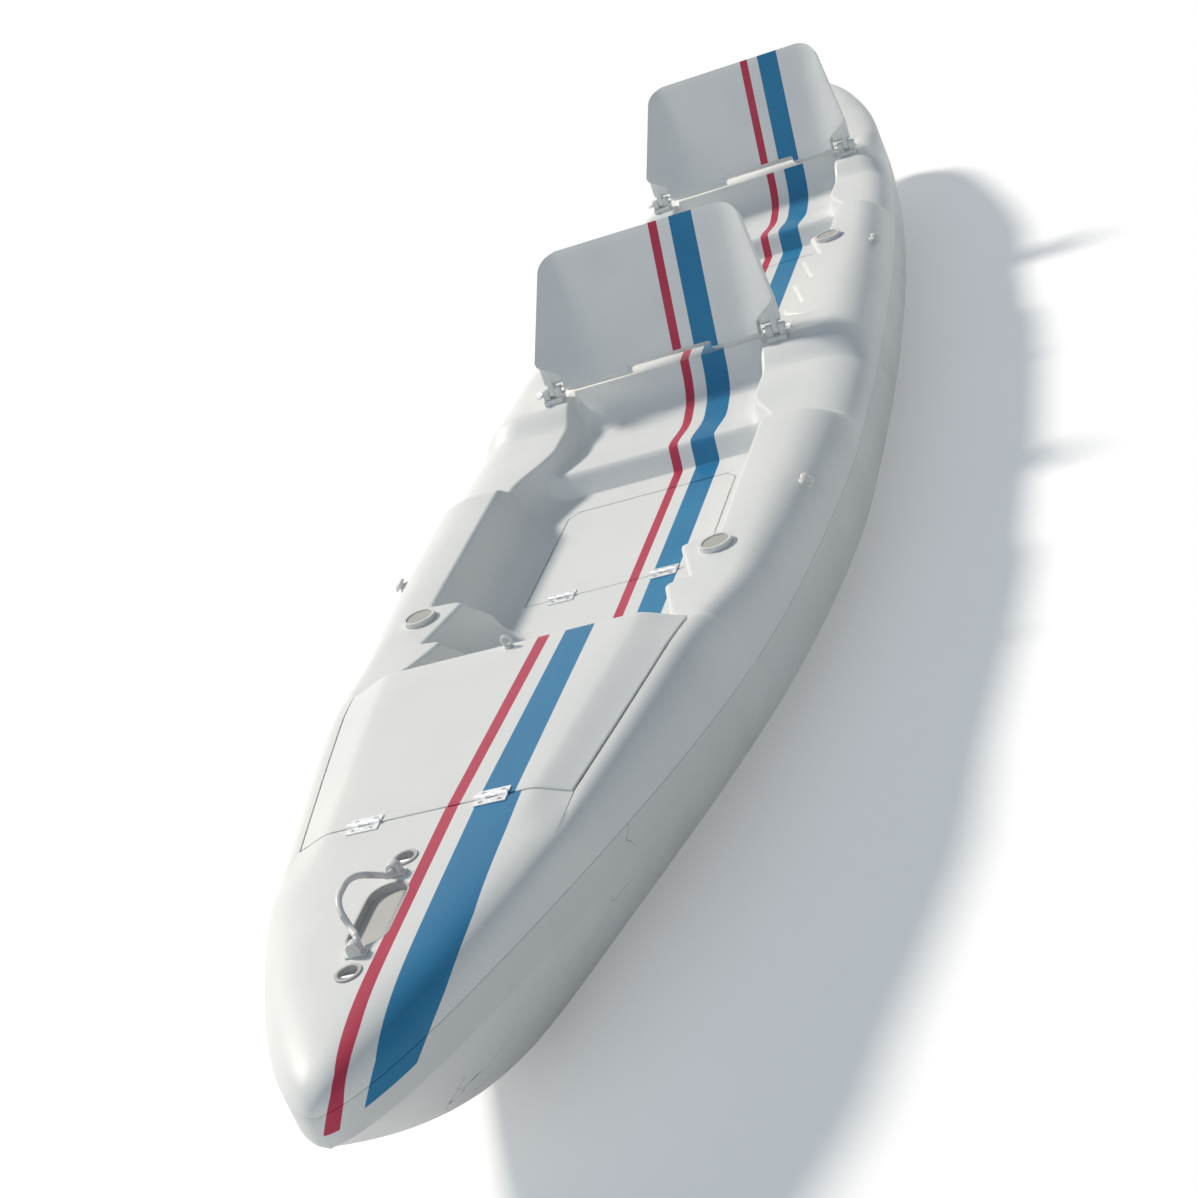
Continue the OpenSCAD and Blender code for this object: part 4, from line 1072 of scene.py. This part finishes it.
# Finishes and edge rounds of the CAD nodes, each by the first line with a word of the node's name.
FINISHES = (
    (("seal",), rubber),
    (("cap",), cap_plastic),
    (("knobs",), knob_plastic),
    (("screws",), screw_metal),
    (("hinge", "bolts", "nut", "bars"), metal),
    # The trays and cups take the grey that paints the shade in their recesses.
    (("tray", "cups"), recess_shade_grey),
    (("floor_hatch_lid",), well_paint),
    (("",), fitting),
)
ROUNDS = (
    (("floor_hatch_lid",), (0.0012, 3, 35)),
    (("forks", "lugs", "cap", "sockets", "cups", "tray"), (0.0012, 2, 40)),
    (("leaves", "nut", "bolts"), (0.0004, 2, 40)),
    (("",), None),
)
WELD_DISTANCE = 0.00001


def first_match(table, name):
    return next(value for words, value in table if any(word in name for word in words))


for name, node in nodes.items():
    node.data.materials.clear()
    node.data.materials.append(first_match(FINISHES, name))
    joined = node.modifiers.new("joined_faces", "WELD")
    joined.merge_threshold = WELD_DISTANCE
    edges = first_match(ROUNDS, name)
    if edges:
        soften(node, *edges)

# Floor and backdrop, pale where the camera or a reflection sees them.
FLOOR_SIZE = 40.0
FLOOR_GLOW = 0.24
bm = bmesh.new()
bmesh.ops.create_grid(bm, x_segments=8, y_segments=8, size=FLOOR_SIZE)
floor = new_object("floor", bm)
floor_paint, tree, shader = node_material("floor_paper")
shader.inputs["Roughness"].default_value = 0.9
coords = coordinates(tree)
grain = noise(tree, coords, scale=3, detail=3)
paper = blend_colours(tree, grain, (0.90, 0.90, 0.90), (0.88, 0.88, 0.88))
link(tree, paper, shader.inputs["Base Color"])
path = tree.nodes.new("ShaderNodeLightPath")
seen = math_node(tree, "MAXIMUM", path.outputs["Is Camera Ray"], path.outputs["Is Glossy Ray"])
link(tree, math_node(tree, "MULTIPLY", seen, FLOOR_GLOW), shader.inputs["Emission Strength"])
shader.inputs["Emission Color"].default_value = (1, 1, 1, 1)
floor.data.materials.append(floor_paint)

world = bpy.data.worlds.new("studio")
bpy.context.scene.world = world
world.use_nodes = True
tree = world.node_tree
sky = tree.nodes["Background"]
sky.inputs["Color"].default_value = (0.66, 0.83, 1.0, 1)
sky.inputs["Strength"].default_value = 0.25
backdrop = tree.nodes.new("ShaderNodeBackground")
backdrop.inputs["Color"].default_value = (1, 1, 1, 1)
backdrop.inputs["Strength"].default_value = 1.0
path = tree.nodes.new("ShaderNodeLightPath")
seen = math_node(tree, "MAXIMUM", path.outputs["Is Camera Ray"], path.outputs["Is Glossy Ray"])
seen = math_node(tree, "MAXIMUM", seen, path.outputs["Is Transmission Ray"])
either = tree.nodes.new("ShaderNodeMixShader")
link(tree, seen, either.inputs[0])
link(tree, sky.outputs[0], either.inputs[1])
link(tree, backdrop.outputs[0], either.inputs[2])
link(tree, either.outputs[0], tree.nodes["World Output"].inputs["Surface"])


# Light and camera.
def sun(name, strength, colour, angle, towards):
    lamp = bpy.data.lights.new(name, "SUN")
    lamp.energy = strength
    lamp.color = colour
    lamp.angle = math.radians(angle)
    obj = bpy.data.objects.new(name, lamp)
    bpy.context.scene.collection.objects.link(obj)
    obj.rotation_euler = Vector(towards).to_track_quat("-Z", "Y").to_euler()


sun("key", strength=2.95, colour=(1.0, 0.94, 0.85), angle=9, towards=(0.42, 0.83, -0.84))
sun("fill", strength=0.35, colour=(0.85, 0.92, 1.0), angle=40, towards=(-0.9, 0.1, -0.5))

EYE = (4.41, 1.41, 1.80)
LOOK = (-0.866, -0.335, -0.372)
ACROSS = (-0.202, 0.914, -0.353)
lens = bpy.data.cameras.new("camera")
lens.lens = 72.15
lens.sensor_width = 36.0
lens.clip_end = 200
camera = bpy.data.objects.new("camera", lens)
bpy.context.scene.collection.objects.link(camera)
forward = Vector(LOOK).normalized()
right = Vector(ACROSS)
right = (right - forward * right.dot(forward)).normalized()
up = right.cross(forward)
turn = Matrix((right, up, -forward)).transposed().to_4x4()
camera.matrix_world = Matrix.Translation(EYE) @ turn
bpy.context.scene.camera = camera
bpy.context.scene.view_settings.view_transform = "Standard"
